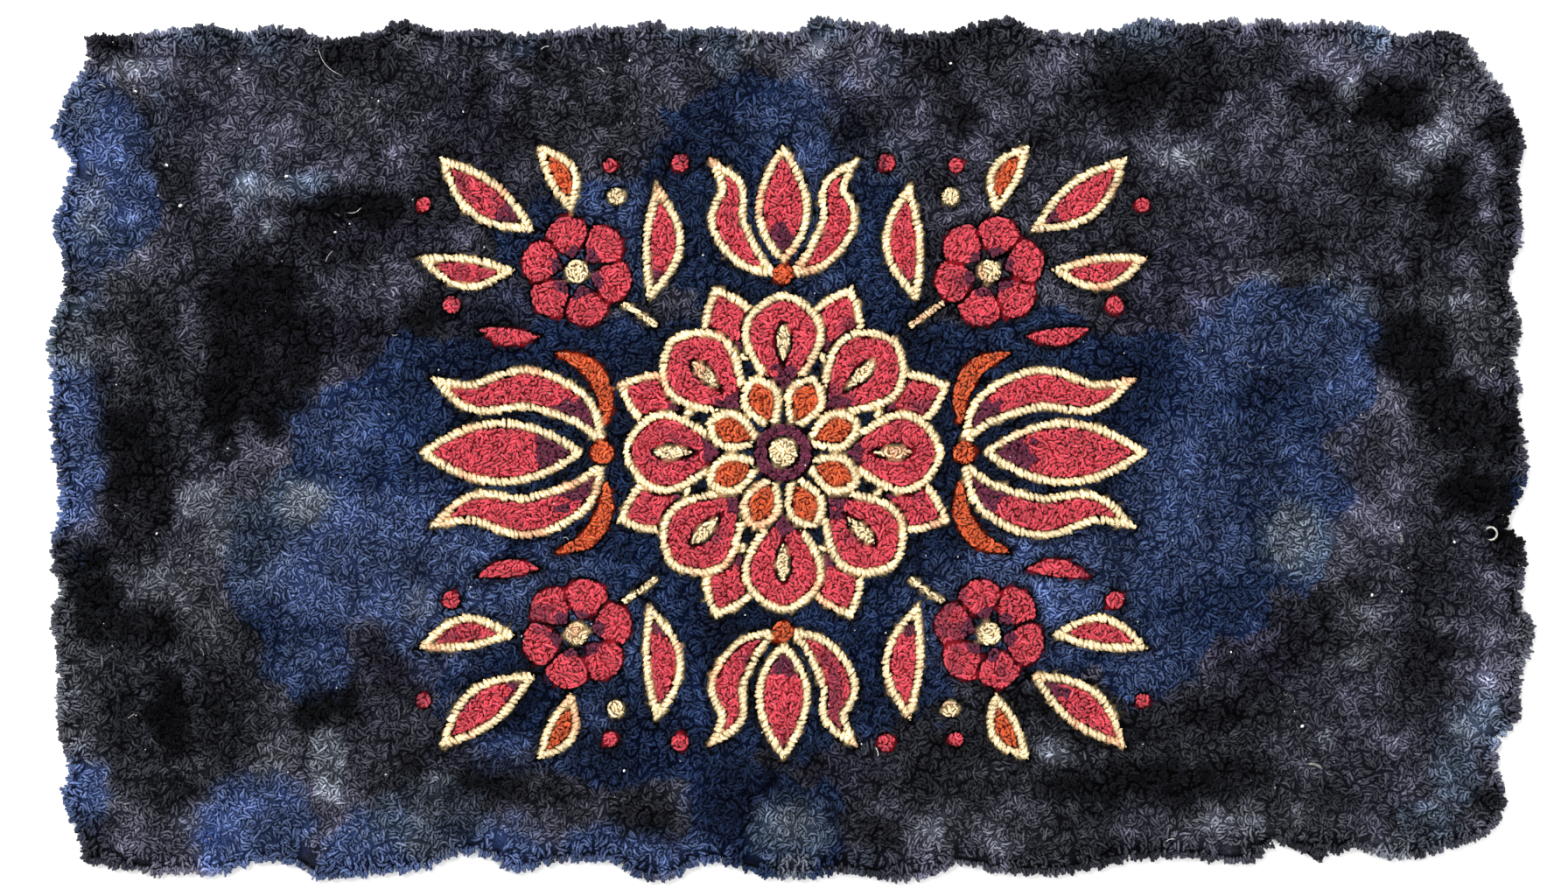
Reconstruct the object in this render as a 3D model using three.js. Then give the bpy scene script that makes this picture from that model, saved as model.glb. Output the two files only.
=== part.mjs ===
// A rectangular pile rug that lies flat: one solid with the outer shape of its pile.
// Millimetres, +Z up. X runs along the length. The origin is in the middle of the underside.

import * as THREE from "three";
import { mergeVertices } from "three/addons/utils/BufferGeometryUtils.js";

// Overall size, out to the tips of the outermost tufts
const LENGTH = 1070;
const WIDTH = 622;

// The line that most of the edge follows: a rectangle inside the overall size
const BODY_HALF_LENGTH = 526;
const BODY_HALF_WIDTH = 302;

// Heights above the surface that the rug lies on
const PILE_TOP = 12.2;
const TOP_WAVE = 0.8;
const EDGE_WIDEST = 4.5;
const EDGE_SHOULDER = 9.6;

// The waves across the top: how many run along each side, where each starts, and its share
const TOP_WAVES = [
  { acrossX: 2.3, acrossY: 0.8, start: 0.7, share: 0.5 },
  { acrossX: -1.1, acrossY: 1.6, start: 2.1, share: 0.3 },
  { acrossX: 4.2, acrossY: -2.4, start: 4.0, share: 0.2 },
];

// How far the rounded edge is drawn in, at the underside and at its two upper steps
const UNDERSIDE_INSET = 5;
const SHOULDER_INSET = 1.6;
const CROWN_INSET = 7;

// How finely the outline is stepped, and where the rings across the top lie
const OUTLINE_STEPS = 320;
const TOP_RINGS = [0.9, 0.66, 0.33];

// Points nearer than this are one point
const MERGE_DISTANCE = 0.001;

// How square the drawing-in directions are at the corners: 2 would be those of an ellipse
const CORNER_SQUARENESS = 7;

// The wavy edge. Each row is a lobe or a hollow: its place along the side, from the middle,
// and how far the edge reaches out past the body line there. Left to right on the long sides.
const FAR_SIDE = [
  { along: -507, reach: -4 },
  { along: -482, reach: -3 },
  { along: -440, reach: 2 },
  { along: -414, reach: 4 },
  { along: -392, reach: -3 },
  { along: -380, reach: 3 },
  { along: -352, reach: 0 },
  { along: -333, reach: -6 },
  { along: -296, reach: 0 },
  { along: -282, reach: 7 },
  { along: -250, reach: 0 },
  { along: -218, reach: 1 },
  { along: -194, reach: -3 },
  { along: -140, reach: 3 },
  { along: -118, reach: 3 },
  { along: -98, reach: 8 },
  { along: -86, reach: 1 },
  { along: -48, reach: 2 },
  { along: -10, reach: -2 },
  { along: 8, reach: 1 },
  { along: 14, reach: 9 },
  { along: 42, reach: 6 },
  { along: 68, reach: 3 },
  { along: 74, reach: -1 },
  { along: 112, reach: -1 },
  { along: 124, reach: 4 },
  { along: 160, reach: 9 },
  { along: 172, reach: 1 },
  { along: 226, reach: 0 },
  { along: 254, reach: 9 },
  { along: 292, reach: 4 },
  { along: 318, reach: 9 },
  { along: 328, reach: 3 },
  { along: 336, reach: 9 },
  { along: 358, reach: 5 },
  { along: 396, reach: 6 },
  { along: 426, reach: 1 },
  { along: 440, reach: -5 },
  { along: 452, reach: -1 },
  { along: 478, reach: -2 },
];

// Far to near
const RIGHT_SIDE = [
  { along: 289, reach: -38 },
  { along: 272, reach: -26 },
  { along: 257, reach: -14 },
  { along: 238, reach: -5 },
  { along: 220, reach: 0 },
  { along: 198, reach: -5 },
  { along: 168, reach: -2 },
  { along: 150, reach: -2 },
  { along: 122, reach: -12 },
  { along: 92, reach: -2 },
  { along: 60, reach: -8 },
  { along: 46, reach: -1 },
  { along: 34, reach: -6 },
  { along: -2, reach: 2 },
  { along: -26, reach: 1 },
  { along: -52, reach: -12 },
  { along: -70, reach: 1 },
  { along: -110, reach: -2 },
  { along: -126, reach: 8 },
  { along: -144, reach: 3 },
  { along: -168, reach: -4 },
  { along: -190, reach: -2 },
  { along: -214, reach: -20 },
  { along: -244, reach: -14 },
  { along: -262, reach: -16 },
];

// Right to left
const NEAR_SIDE = [
  { along: 500, reach: -26 },
  { along: 478, reach: -18 },
  { along: 452, reach: -10 },
  { along: 428, reach: -9 },
  { along: 400, reach: -17 },
  { along: 386, reach: -9 },
  { along: 372, reach: -18 },
  { along: 362, reach: -13 },
  { along: 349, reach: -22 },
  { along: 334, reach: -8 },
  { along: 318, reach: -5 },
  { along: 290, reach: -9 },
  { along: 246, reach: -8 },
  { along: 194, reach: 2 },
  { along: 148, reach: 1 },
  { along: 116, reach: -4 },
  { along: 104, reach: 3 },
  { along: 76, reach: 7 },
  { along: 34, reach: 1 },
  { along: 10, reach: 5 },
  { along: -30, reach: 2 },
  { along: -46, reach: -5 },
  { along: -68, reach: -5 },
  { along: -84, reach: 4 },
  { along: -108, reach: 7 },
  { along: -122, reach: -4 },
  { along: -162, reach: -7 },
  { along: -196, reach: 0 },
  { along: -206, reach: 0 },
  { along: -212, reach: -8 },
  { along: -238, reach: -13 },
  { along: -262, reach: -2 },
  { along: -300, reach: 2 },
  { along: -342, reach: 5 },
  { along: -360, reach: -6 },
  { along: -382, reach: -7 },
  { along: -416, reach: 3 },
  { along: -436, reach: 1 },
  { along: -460, reach: 2 },
  { along: -496, reach: -5 },
  { along: -508, reach: -7 },
];

// Near to far
const LEFT_SIDE = [
  { along: -284, reach: -16 },
  { along: -266, reach: -9 },
  { along: -248, reach: -2 },
  { along: -229, reach: -7 },
  { along: -200, reach: 1 },
  { along: -160, reach: 1 },
  { along: -134, reach: 3 },
  { along: -122, reach: 7 },
  { along: -100, reach: -1 },
  { along: -74, reach: 8 },
  { along: -50, reach: 1 },
  { along: -24, reach: 0 },
  { along: 14, reach: 7 },
  { along: 46, reach: 4 },
  { along: 80, reach: 8 },
  { along: 114, reach: -3 },
  { along: 140, reach: -2 },
  { along: 160, reach: 4 },
  { along: 196, reach: -7 },
  { along: 210, reach: -8 },
  { along: 222, reach: 1 },
  { along: 230, reach: 6 },
  { along: 240, reach: 0 },
  { along: 256, reach: -5 },
  { along: 274, reach: -18 },
  { along: 287, reach: -20 },
];

function outlineRoute() {
  const far = FAR_SIDE.map(({ along, reach }) => [along, BODY_HALF_WIDTH + reach]);
  const right = RIGHT_SIDE.map(({ along, reach }) => [BODY_HALF_LENGTH + reach, along]);
  const near = NEAR_SIDE.map(({ along, reach }) => [along, -BODY_HALF_WIDTH - reach]);
  const left = LEFT_SIDE.map(({ along, reach }) => [-BODY_HALF_LENGTH - reach, along]);
  return [...far, ...right, ...near, ...left];
}

// The outline's points, counter-clockwise, fitted exactly to the overall size about the origin
function outlinePoints() {
  const route = outlineRoute().reverse();
  const corners = route.map(([x, y]) => new THREE.Vector3(x, y, 0));
  const curve = new THREE.CatmullRomCurve3(corners, true, "centripetal");
  const points = curve.getSpacedPoints(OUTLINE_STEPS).slice(0, OUTLINE_STEPS);
  const box = new THREE.Box3().setFromPoints(points);
  const middle = box.getCenter(new THREE.Vector3());
  const size = box.getSize(new THREE.Vector3());
  const fit = new THREE.Vector3(LENGTH / size.x, WIDTH / size.y, 1);
  return points.map((point) => point.sub(middle).multiply(fit));
}

// The outward direction at a point of the outline, smooth round the corners
function outwardAt(point) {
  const power = CORNER_SQUARENESS - 1;
  const x = Math.sign(point.x) * Math.abs((2 * point.x) / LENGTH) ** power / LENGTH;
  const y = Math.sign(point.y) * Math.abs((2 * point.y) / WIDTH) ** power / WIDTH;
  return new THREE.Vector3(x, y, 0).normalize();
}

// The top isn't quite level: shallow waves cross it, as in pile worked by hand
function topHeight(x, y) {
  const wave = ({ acrossX, acrossY, start }) => {
    return Math.sin(2 * Math.PI * (acrossX * x / LENGTH + acrossY * y / WIDTH) + start);
  };
  const waves = TOP_WAVES.map((row) => row.share * wave(row));
  return PILE_TOP + TOP_WAVE * waves.reduce((sum, part) => sum + part, 0);
}

// The outline pulled in by a distance, all of it at one height
function drawnIn(outline, inset, height) {
  return outline.map((point) => {
    const place = point.clone().addScaledVector(outwardAt(point), -inset);
    return place.setZ(height);
  });
}

// The line where the rounded edge runs into the top, a little below it
function crown(outline) {
  return drawnIn(outline, CROWN_INSET, 0).map((place) => {
    return place.setZ(topHeight(place.x, place.y) - TOP_WAVE);
  });
}

// The outline shrunk to a share of itself, on the top
function acrossTop(outline, share) {
  return outline.map((point) => {
    const place = point.clone().multiplyScalar(share);
    return place.setZ(topHeight(place.x, place.y));
  });
}

// The middle of the underside or of the top, given once for each step of the outline
function atMiddle(height) {
  return Array.from({ length: OUTLINE_STEPS }, () => new THREE.Vector3(0, 0, height));
}

// Every ring of the solid, from the middle of the underside, out round the edge, to the top
function rings() {
  const outline = outlinePoints();
  return [
    atMiddle(0),
    drawnIn(outline, UNDERSIDE_INSET, 0),
    drawnIn(outline, 0, EDGE_WIDEST),
    drawnIn(outline, SHOULDER_INSET, EDGE_SHOULDER),
    crown(outline),
    ...TOP_RINGS.map((share) => acrossTop(outline, share)),
    atMiddle(topHeight(0, 0)),
  ];
}

// A turned form gives the net of faces, and each of its points is then put on its ring
function rugGeometry() {
  const net = rings();
  const profile = net.map((ring, step) => {
    const onAxis = step === 0 || step === net.length - 1;
    return new THREE.Vector2(onAxis ? 0 : 1, step);
  });
  const geometry = new THREE.LatheGeometry(profile, OUTLINE_STEPS);
  const position = geometry.getAttribute("position");
  for (let turn = 0; turn <= OUTLINE_STEPS; turn += 1) {
    for (let step = 0; step < net.length; step += 1) {
      const { x, y, z } = net[step][turn % OUTLINE_STEPS];
      position.setXYZ(turn * net.length + step, x, y, z);
    }
  }
  geometry.deleteAttribute("normal");
  geometry.deleteAttribute("uv");
  return mergeVertices(geometry, MERGE_DISTANCE);
}

function woolPile() {
  return new THREE.MeshStandardMaterial({ color: 0x26262e, roughness: 0.95, metalness: 0 });
}

function rug() {
  const mesh = new THREE.Mesh(rugGeometry(), woolPile());
  mesh.name = "rug";
  return mesh;
}

const part = new THREE.Group();
part.add(rug());

export default part;
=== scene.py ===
# The looks of a curly wool pile rug: its foundation cloth, and its pile as many small yarn curls.
# Sizes and places are in millimetres, and are turned into metres where a mesh is made.

import math
from collections import namedtuple

import bpy
import numpy as np
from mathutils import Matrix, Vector
from mathutils.kdtree import KDTree


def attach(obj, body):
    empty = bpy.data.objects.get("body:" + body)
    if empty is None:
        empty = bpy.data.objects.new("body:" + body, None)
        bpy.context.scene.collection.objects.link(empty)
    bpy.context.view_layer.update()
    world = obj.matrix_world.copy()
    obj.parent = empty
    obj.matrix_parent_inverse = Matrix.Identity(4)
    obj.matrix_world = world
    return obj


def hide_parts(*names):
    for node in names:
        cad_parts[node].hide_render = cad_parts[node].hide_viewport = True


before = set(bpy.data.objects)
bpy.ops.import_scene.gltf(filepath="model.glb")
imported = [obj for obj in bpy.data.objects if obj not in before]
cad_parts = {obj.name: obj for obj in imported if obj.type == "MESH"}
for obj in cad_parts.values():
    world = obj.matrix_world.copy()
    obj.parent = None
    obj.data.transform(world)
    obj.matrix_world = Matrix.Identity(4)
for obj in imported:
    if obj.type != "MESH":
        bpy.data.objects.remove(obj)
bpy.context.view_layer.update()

MM = 0.001
SEED = 20
rng = np.random.default_rng(SEED)

# Camera: straight above, with the rug a little to the right of the picture's middle
PICTURE_WIDTH = 1130
CAMERA_X = -5.4
CAMERA_Y = 1.3
CAMERA_HEIGHT = 2300
SENSOR = 36

# The floor and the light from all round
FLOOR_SIZE = 16000
FLOOR_COLOUR = (0.92, 0.92, 0.92, 1)
SKY_STRENGTH = 0.9

# The foundation cloth: its rings from the middle of its underside round its edge to the middle of its
# top, each as a share of its outline and a height, and the pitch of the outline's points
CLOTH_INSET = 6
CLOTH_THICKNESS = 2.4
CLOTH_RINGS = [(0.985, 0.0), (1.0, 0.5), (1.0, CLOTH_THICKNESS), (0.5, CLOTH_THICKNESS)]
CLOTH_PITCH = 6

# The ground's curls: their nearest spacing, their thickness, and the steps they are laid in
CURL_SPACING = 1.4
FILL_SPACING = 1.4
CURL_RADIUS = 1.4
CURL_STEP = 1.5
CURL_STEPS = (1, 5)
BEND_START = 0.3
BEND_MEMORY = 0.86
BEND_CHANGE = 0.2
BEND_MOST = 0.5
DODGES = (0, 0.4, -0.4, 0.8, -0.8)
FIELD_CELL = 0.5
FIELD_MARGIN = 10
SEEDS_AT_ONCE = 40000

# The heights of the curls, and how far their ends go on and down
ROOT_HEIGHT = 2.0
PILE_HEIGHT = 12.0
CURL_HEIGHTS = (-0.6, 0.2)
CURL_SIZES = (0.8, 1.15)
NUB_DROP = 0.8
CURL_WAVE = 0.5
CURL_WAVE_LENGTH = (6.5, 12)
CURL_WAVE_START = 20
TIP_REACH = 0.8
TIP_DROP = 2.8
END_DROP = 0.6

# Long creases where the pile parts
CREASE_START = (0.5, 0.62)
CREASE_WIDTH = 0.028
CREASE_DEPTH = 2.2

# How far below a curl's crest its shade runs, and the parts of that depth where it is dark and light
SHADE_DEPTH = 4.2
ROOT_SHADE = 0.1
CREST_SHADE = 0.8

# In the painted shade at a curl's roots, the yarn's colour is taken to this power, times this scale
SHADE_GAMMA = 1.5
SHADE_SCALE = 0.9

# How far up a curl's own side, of its whole side, the painted shade line between it and its neighbours fades
SIDE_SHADE = 0.32

# Curls gather into clumps, with cracks here and there between one clump and the next
CLUMP_SIZE = 10
CLUMP_SEED = 51
CRACK_WIDTH = 2.3
CRACK_START = 0.58
SHOULDER_WIDTH = 2.5
SHOULDER_DEPTH = 1.2

# The bed under the curls: the crowded lower part of the pile
BED_ALONG = 200
BED_ACROSS = 116
BED_INSET = 5
BED_FLOOR = 2.2
BED_DEPTH = 3.7
BED_LUMP = 1.4
BED_RISE = (-2, 14)
BED_HOLLOW = 0.2
BED_CHANCE = 0.6
# Painted shade: the share of its colour that the bed keeps, as it lies deep in the pile
BED_SHADE = 0.7

# The rug's edge: where its curls start to lean out, and the rows of tufts that hide the cloth
EDGE_ROUNDING = 12
EDGE_DROP = 3.2
EDGE_LEAN = 2.0
EDGE_KEEP = 2.6
RIM_PITCH = 1.8
TOOTH_SIZE = 4.4
TOOTH_SEED = 73
TOOTH_SHARES = (0.3, 0.9)
TOOTH_LENGTH = 3.4
TOOTH_MIDDLE = 0.45
TOOTH_PULL = 0.4

# The edge is in lobes, with a cleft between one and the next that runs inward
LOBE_SIZE = 10
LOBE_SEED = 71
LOBE_NOTCH = 2.4
NOTCH_WIDTH = 5
CLEFT_WIDTH = 2.8
CLEFT_LENGTH = (5, 20)

# The design's pile: the slanted loops of its rims, and the curls that fill its shapes
DESIGN_X = -6
DESIGN_Y = -2
DESIGN_TOP = 12.6
DESIGN_PITCH = 1.2
RIM_BAND = 6.0
RIM_LOOP_PITCH = 2.7
RIM_LOOP_WIDTH = 3.5
RIM_LOOP_SLANT = 32
RIM_LOOP_REACH = 2.3
RIM_SHARP = 0.8
RIM_MARGIN = 1.6
FILL_MARGIN = 0.9
BARE_MARGIN = 1.2
ROOT_SHARE = 0.3
SHAPE_GAP = 2.0
GROUND_GAP = 0.9
# The painted shadow on the ground round the design: how far it reaches from the outlines, and how dark it is
SHADOW_REACH = 7.5
SHADOW_DEPTH = 0.6

# How many pieces the ground's pile is split into, each the full length of the rug
GROUND_STRIPS = 4

# Yarn colours, as red, green and blue from 0 to 255
YARN = {
    "violet_grey": (69, 69, 81),
    "ash": (60, 61, 68),
    "soot": (10, 10, 13),
    "dusk": (42, 40, 56),
    "light_violet": (94, 94, 109),
    "light_ash": (98, 100, 108),
    "blue": (42, 58, 91),
    "navy": (17, 30, 58),
    "denim": (82, 97, 134),
    "teal_grey": (98, 111, 130),
    "pale": (134, 139, 149),
    # The colour below is no yarn: it is painted shadow round the design and painted shade in the gaps
    # between its shapes
    "shadow_black": (12, 12, 15),
    "red": (208, 72, 86),
    "gold": (245, 224, 182),
    "orange": (206, 90, 48),
    "plum": (104, 36, 62),
}


def linear(rgb):
    """A colour from 0 to 255 as the linear light that materials use."""
    share = np.asarray(rgb, float) / 255
    return np.where(share <= 0.04045, share / 12.92, ((share + 0.055) / 1.055) ** 2.4)


LIGHT = {name: linear(rgb) for name, rgb in YARN.items()}


# The ground's stains, laid one tint after another: a stain's middle, its half sizes, and its strength
Stain = namedtuple("Stain", "x y rx ry amount")
STAIN_ROWS = {
    "ash": [
        (-470, 60, 60, 80, 0.8), (-320, 262, 50, 34, 0.8), (-150, 235, 60, 50, 0.8),
        (-20, 278, 26, 12, 0.8), (150, 272, 34, 26, 0.8), (250, 260, 60, 40, 0.7), (420, 205, 50, 40, 0.6),
        (480, 60, 60, 90, 0.8), (400, -110, 50, 40, 0.7), (-440, -170, 100, 110, 0.9),
        (-250, -235, 70, 30, 0.6), (-100, -260, 50, 35, 0.7), (150, -225, 120, 60, 0.9),
        (330, -230, 90, 50, 0.8), (300, -285, 140, 24, 0.6),
    ],
    "light_violet": [
        (-352, 228, 42, 24, 0.2), (-325, 200, 18, 12, 0.7), (-290, 222, 20, 10, 0.7),
        (-420, 266, 28, 20, 0.5), (-238, 282, 24, 14, 0.7), (-310, 112, 40, 15, 0.8),
        (-346, 138, 14, 11, 0.5), (-432, 95, 12, 28, 0.6), (-370, 6, 40, 14, 0.6), (-405, -88, 24, 18, 0.6),
        (-430, -160, 24, 11, 0.6), (-480, -285, 32, 15, 0.7), (-380, -155, 18, 14, 0.4),
        (-265, -185, 30, 30, 0.3), (-240, -215, 18, 22, 0.5), (-110, 297, 14, 7, 0.6),
        (185, 258, 18, 22, 0.5), (60, 262, 40, 20, 0.1), (300, 220, 70, 30, 0.4), (378, 220, 50, 30, 0.4),
        (375, 290, 34, 12, 0.4), (422, 285, 18, 15, 0.4), (370, 175, 40, 20, 0.3), (468, 135, 14, 11, 0.6),
        (424, 5, 28, 50, 0.25), (430, -45, 20, 16, 0.3), (285, -150, 22, 20, 0.5), (495, -140, 26, 44, 0.6),
        (425, -226, 36, 24, 0.8), (432, -252, 26, 14, 0.6), (215, -215, 26, 9, 0.6),
        (255, -273, 24, 11, 0.5), (62, -262, 18, 11, 0.4), (20, -205, 32, 13, 0.4),
    ],
    "light_ash": [
        (-488, 264, 24, 16, 0.5), (-486, 130, 17, 19, 0.6), (-495, 75, 16, 12, 0.6),
        (-312, 238, 18, 15, 0.5), (-440, -100, 30, 15, 0.6), (-415, -134, 18, 20, 0.6),
        (-518, -110, 18, 42, 0.8), (-514, -190, 20, 44, 0.8), (-378, -225, 15, 13, 0.6),
        (-248, -246, 16, 16, 0.6), (478, 246, 24, 26, 0.6), (492, 276, 22, 18, 0.6), (494, 86, 27, 26, 0.7),
        (408, -118, 16, 19, 0.6), (406, -146, 22, 11, 0.8), (526, -132, 12, 22, 0.7),
        (265, -219, 44, 5, 0.6), (335, -268, 46, 14, 0.7), (288, -274, 24, 9, 0.5),
        (190, -286, 26, 11, 0.5), (120, -272, 44, 14, 0.3), (490, -262, 14, 12, 0.5),
    ],
    "dusk": [
        (-432, 243, 17, 14, 0.7), (-225, 225, 26, 50, 0.6), (-285, 156, 42, 11, 0.8),
        (-330, 84, 38, 17, 0.8), (-375, 26, 22, 14, 0.6), (-275, -150, 38, 24, 0.8),
        (270, 100, 44, 52, 0.7), (320, 165, 40, 26, 0.3), (335, -138, 46, 32, 0.7), (400, -20, 18, 16, 0.5),
        (-165, -206, 28, 18, 0.5), (30, -232, 32, 17, 0.7), (90, 205, 50, 30, 0.2),
        (450, -120, 30, 20, 0.3), (505, 45, 13, 7, 0.6),
    ],
    "soot": [
        (-305, 281, 34, 18, 0.8), (-266, 262, 20, 16, 0.6), (-335, 177, 32, 13, 1.0),
        (-298, 173, 36, 14, 1.0), (-262, 179, 28, 14, 0.5), (-345, 160, 20, 12, 0.8),
        (-300, 145, 28, 9, 0.5), (-338, 141, 12, 12, 0.8), (-385, 115, 34, 23, 0.95),
        (-378, 60, 40, 52, 0.9), (-408, 44, 20, 46, 1.0), (-412, 100, 13, 28, 0.8), (-264, 96, 14, 30, 0.9),
        (-210, 152, 20, 12, 0.9), (-500, 40, 17, 17, 0.6), (-484, 14, 25, 19, 0.9),
        (-472, -36, 27, 40, 0.95), (-455, 0, 20, 15, 0.5), (-479, 230, 9, 24, 0.6),
        (-452, 190, 17, 11, 0.6), (-490, 291, 15, 7, 0.8), (-185, 283, 18, 13, 0.9),
        (-190, 250, 14, 12, 0.5), (-505, -82, 14, 12, 1.0), (-500, -112, 23, 27, 0.95),
        (-468, -126, 26, 18, 0.85), (-445, -190, 16, 30, 1.0), (-408, -170, 15, 28, 0.6),
        (-472, -222, 26, 20, 0.6), (-400, -212, 32, 18, 0.5), (-446, -244, 42, 12, 0.6),
        (-334, -181, 23, 23, 1.0), (-290, -134, 15, 10, 0.8), (-275, -216, 17, 14, 0.5),
        (-210, -238, 34, 13, 0.9), (-345, -262, 14, 12, 0.8), (-136, -228, 24, 14, 0.8),
        (-104, -272, 28, 26, 0.8), (-180, -246, 20, 12, 0.8), (125, 238, 14, 12, 0.9),
        (112, 270, 11, 22, 0.4), (150, 270, 22, 18, 0.4), (245, 252, 30, 23, 0.9), (281, 238, 15, 13, 0.9),
        (295, 270, 14, 24, 0.6), (352, 278, 15, 14, 0.6), (372, 258, 22, 12, 0.8), (434, 250, 28, 19, 1.0),
        (385, 240, 15, 9, 0.6), (475, 184, 17, 27, 1.0), (505, 230, 19, 11, 0.9), (514, 190, 11, 32, 0.9),
        (475, 158, 15, 13, 0.8), (510, 132, 14, 24, 0.6), (447, 130, 9, 21, 0.9), (430, 114, 14, 11, 0.8),
        (405, 150, 9, 11, 0.6), (270, 178, 19, 12, 0.5), (450, 74, 32, 27, 0.95), (420, 72, 15, 15, 1.0),
        (480, 28, 36, 27, 0.9), (515, 18, 14, 27, 0.9), (486, -30, 24, 23, 1.0), (514, -45, 14, 32, 1.0),
        (326, -93, 17, 11, 0.9), (405, -96, 17, 11, 0.9), (385, -110, 12, 15, 0.8),
        (450, -164, 19, 31, 0.75), (472, -145, 17, 10, 0.8), (428, -187, 15, 10, 0.6),
        (300, -188, 40, 11, 0.6), (200, -182, 64, 14, 0.8), (228, -201, 32, 12, 0.8),
        (270, -236, 48, 19, 0.85), (208, -246, 42, 13, 0.85), (492, -250, 15, 9, 0.9),
        (440, -262, 9, 6, 0.9), (72, -275, 13, 11, 0.5), (150, -205, 40, 16, 0.4), (40, 240, 12, 12, 0.4),
    ],
    "blue": [
        (-129, -29, 212, 122, 1.0), (174, -34, 212, 130, 1.0), (355, 60, 62, 60, 1.0),
        (-28, 179, 76, 84, 1.0), (-142, 148, 58, 43, 1.0), (35, 135, 58, 72, 1.0), (-255, 40, 52, 42, 1.0),
        (-318, 2, 40, 40, 1.0), (-322, -54, 52, 62, 1.0), (-385, -85, 20, 40, 0.8),
        (-350, -125, 36, 44, 1.0), (-204, -175, 42, 42, 1.0), (-91, -180, 110, 60, 1.0),
        (29, -155, 84, 50, 1.0), (249, -142, 36, 36, 1.0), (331, -29, 58, 70, 1.0),
        (-15, -275, 52, 40, 1.0), (-34, -243, 40, 24, 1.0), (-501, 230, 31, 27, 1.0),
        (-501, 201, 26, 17, 1.0), (-498, 172, 40, 39, 1.0), (-520, 2, 18, 52, 1.0),
        (-512, -250, 15, 20, 1.0), (-386, -276, 40, 32, 1.0), (-282, -292, 56, 30, 1.0),
        (-205, -294, 32, 22, 1.0), (-130, -292, 30, 18, 1.0), (-80, -293, 22, 12, 0.8),
        (528, -32, 10, 18, 0.6),
    ],
    "navy": [
        (-205, -174, 36, 32, 1.0), (-85, 212, 20, 15, 0.8), (-30, -140, 40, 34, 0.7),
        (45, -150, 40, 32, 0.7), (-85, -214, 60, 20, 0.6), (-45, -252, 32, 30, 0.8), (232, 20, 40, 60, 0.7),
        (250, 60, 30, 20, 0.8), (212, -40, 30, 40, 0.7), (-190, 60, 60, 60, 0.6), (-356, -78, 13, 17, 0.4),
        (345, 45, 20, 12, 0.4), (0, 0, 170, 110, 0.6), (45, 215, 10, 30, 0.6),
    ],
    "denim": [
        (-300, -84, 78, 50, 1.0), (-345, -150, 24, 17, 0.9), (-250, -120, 46, 30, 0.9),
        (-330, 14, 26, 24, 0.5), (-175, -105, 36, 28, 0.9), (-130, -142, 24, 17, 0.7),
        (-140, -191, 18, 10, 0.9), (-135, 150, 42, 38, 0.5), (15, 190, 24, 66, 0.6), (-5, 236, 34, 18, 0.5),
        (-205, -216, 36, 12, 0.5), (190, -98, 62, 44, 0.8), (110, -120, 34, 34, 0.5),
        (255, -150, 24, 20, 0.6), (280, -60, 50, 40, 0.5), (345, 85, 46, 26, 0.8), (393, 60, 18, 44, 0.7),
        (305, 70, 18, 26, 0.5), (300, -8, 50, 30, 0.5), (350, -20, 40, 24, 0.5), (-503, 196, 40, 64, 1.0),
        (-520, 2, 20, 56, 1.0), (-512, -250, 16, 22, 1.0), (-262, -297, 80, 32, 1.0),
        (-205, -294, 34, 23, 1.0), (-386, -276, 42, 34, 1.0), (-130, -294, 34, 18, 0.8),
        (-80, -294, 24, 12, 0.8),
    ],
    "teal_grey": [
        (-452, 245, 9, 19, 0.35), (-380, 293, 15, 9, 0.5), (-420, 297, 27, 8, 0.6), (-201, 291, 15, 6, 0.5),
        (-70, 299, 18, 8, 0.7), (-45, 285, 9, 12, 0.8), (22, 302, 16, 8, 0.6), (70, 276, 7, 13, 0.3),
        (72, 210, 17, 13, 0.4), (255, 299, 22, 13, 0.6), (418, 296, 14, 11, 0.8), (-521, 84, 20, 24, 0.9),
        (-394, -46, 17, 9, 0.8), (-385, -70, 20, 30, 0.4), (-358, -38, 26, 17, 0.8),
        (360, -63, 25, 25, 0.9), (402, 108, 14, 12, 0.5), (496, -196, 15, 21, 0.8),
        (476, -226, 15, 27, 0.8), (455, -270, 17, 15, 0.8), (-262, -264, 36, 24, 0.7),
        (-500, 152, 26, 14, 0.4), (-515, 244, 16, 14, 0.5), (54, -295, 12, 9, 0.4),
        (-392, 190, 12, 19, 0.7), (-352, 190, 18, 8, 0.6), (0, -272, 27, 20, 0.7),
    ],
    "pale": [
        (-478, 275, 10, 6, 0.6), (-391, 188, 6, 15, 0.5), (-371, 187, 9, 6, 0.4), (-376, 158, 6, 7, 0.8),
        (-275, 293, 8, 6, 0.7), (-210, 283, 5, 8, 0.6), (-30, 290, 8, 6, 0.7), (18, 288, 7, 8, 0.5),
        (283, 211, 14, 7, 0.9), (399, 258, 6, 10, 0.4), (463, 219, 9, 8, 0.5), (440, 200, 10, 7, 0.5),
        (350, 242, 6, 9, 0.4), (365, 128, 22, 9, 0.5), (463, 107, 9, 8, 0.4), (-425, -38, 14, 12, 0.6),
        (-412, -50, 8, 22, 0.7), (-350, -40, 13, 12, 0.7), (-332, -225, 10, 25, 1.0),
        (-240, -196, 6, 14, 0.4), (-267, -112, 8, 12, 0.4), (358, -60, 12, 18, 0.5), (385, -206, 6, 7, 0.6),
        (187, -217, 11, 8, 0.6), (1, -270, 13, 11, 0.5), (-503, 178, 12, 18, 0.4),
        (-262, -262, 10, 14, 0.4), (482, -204, 8, 8, 0.4), (464, -126, 8, 7, 0.4), (455, -283, 14, 6, 0.4),
        (434, -286, 14, 10, 0.9), (-513, 79, 12, 16, 0.7), (-264, -285, 14, 10, 0.4),
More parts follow.
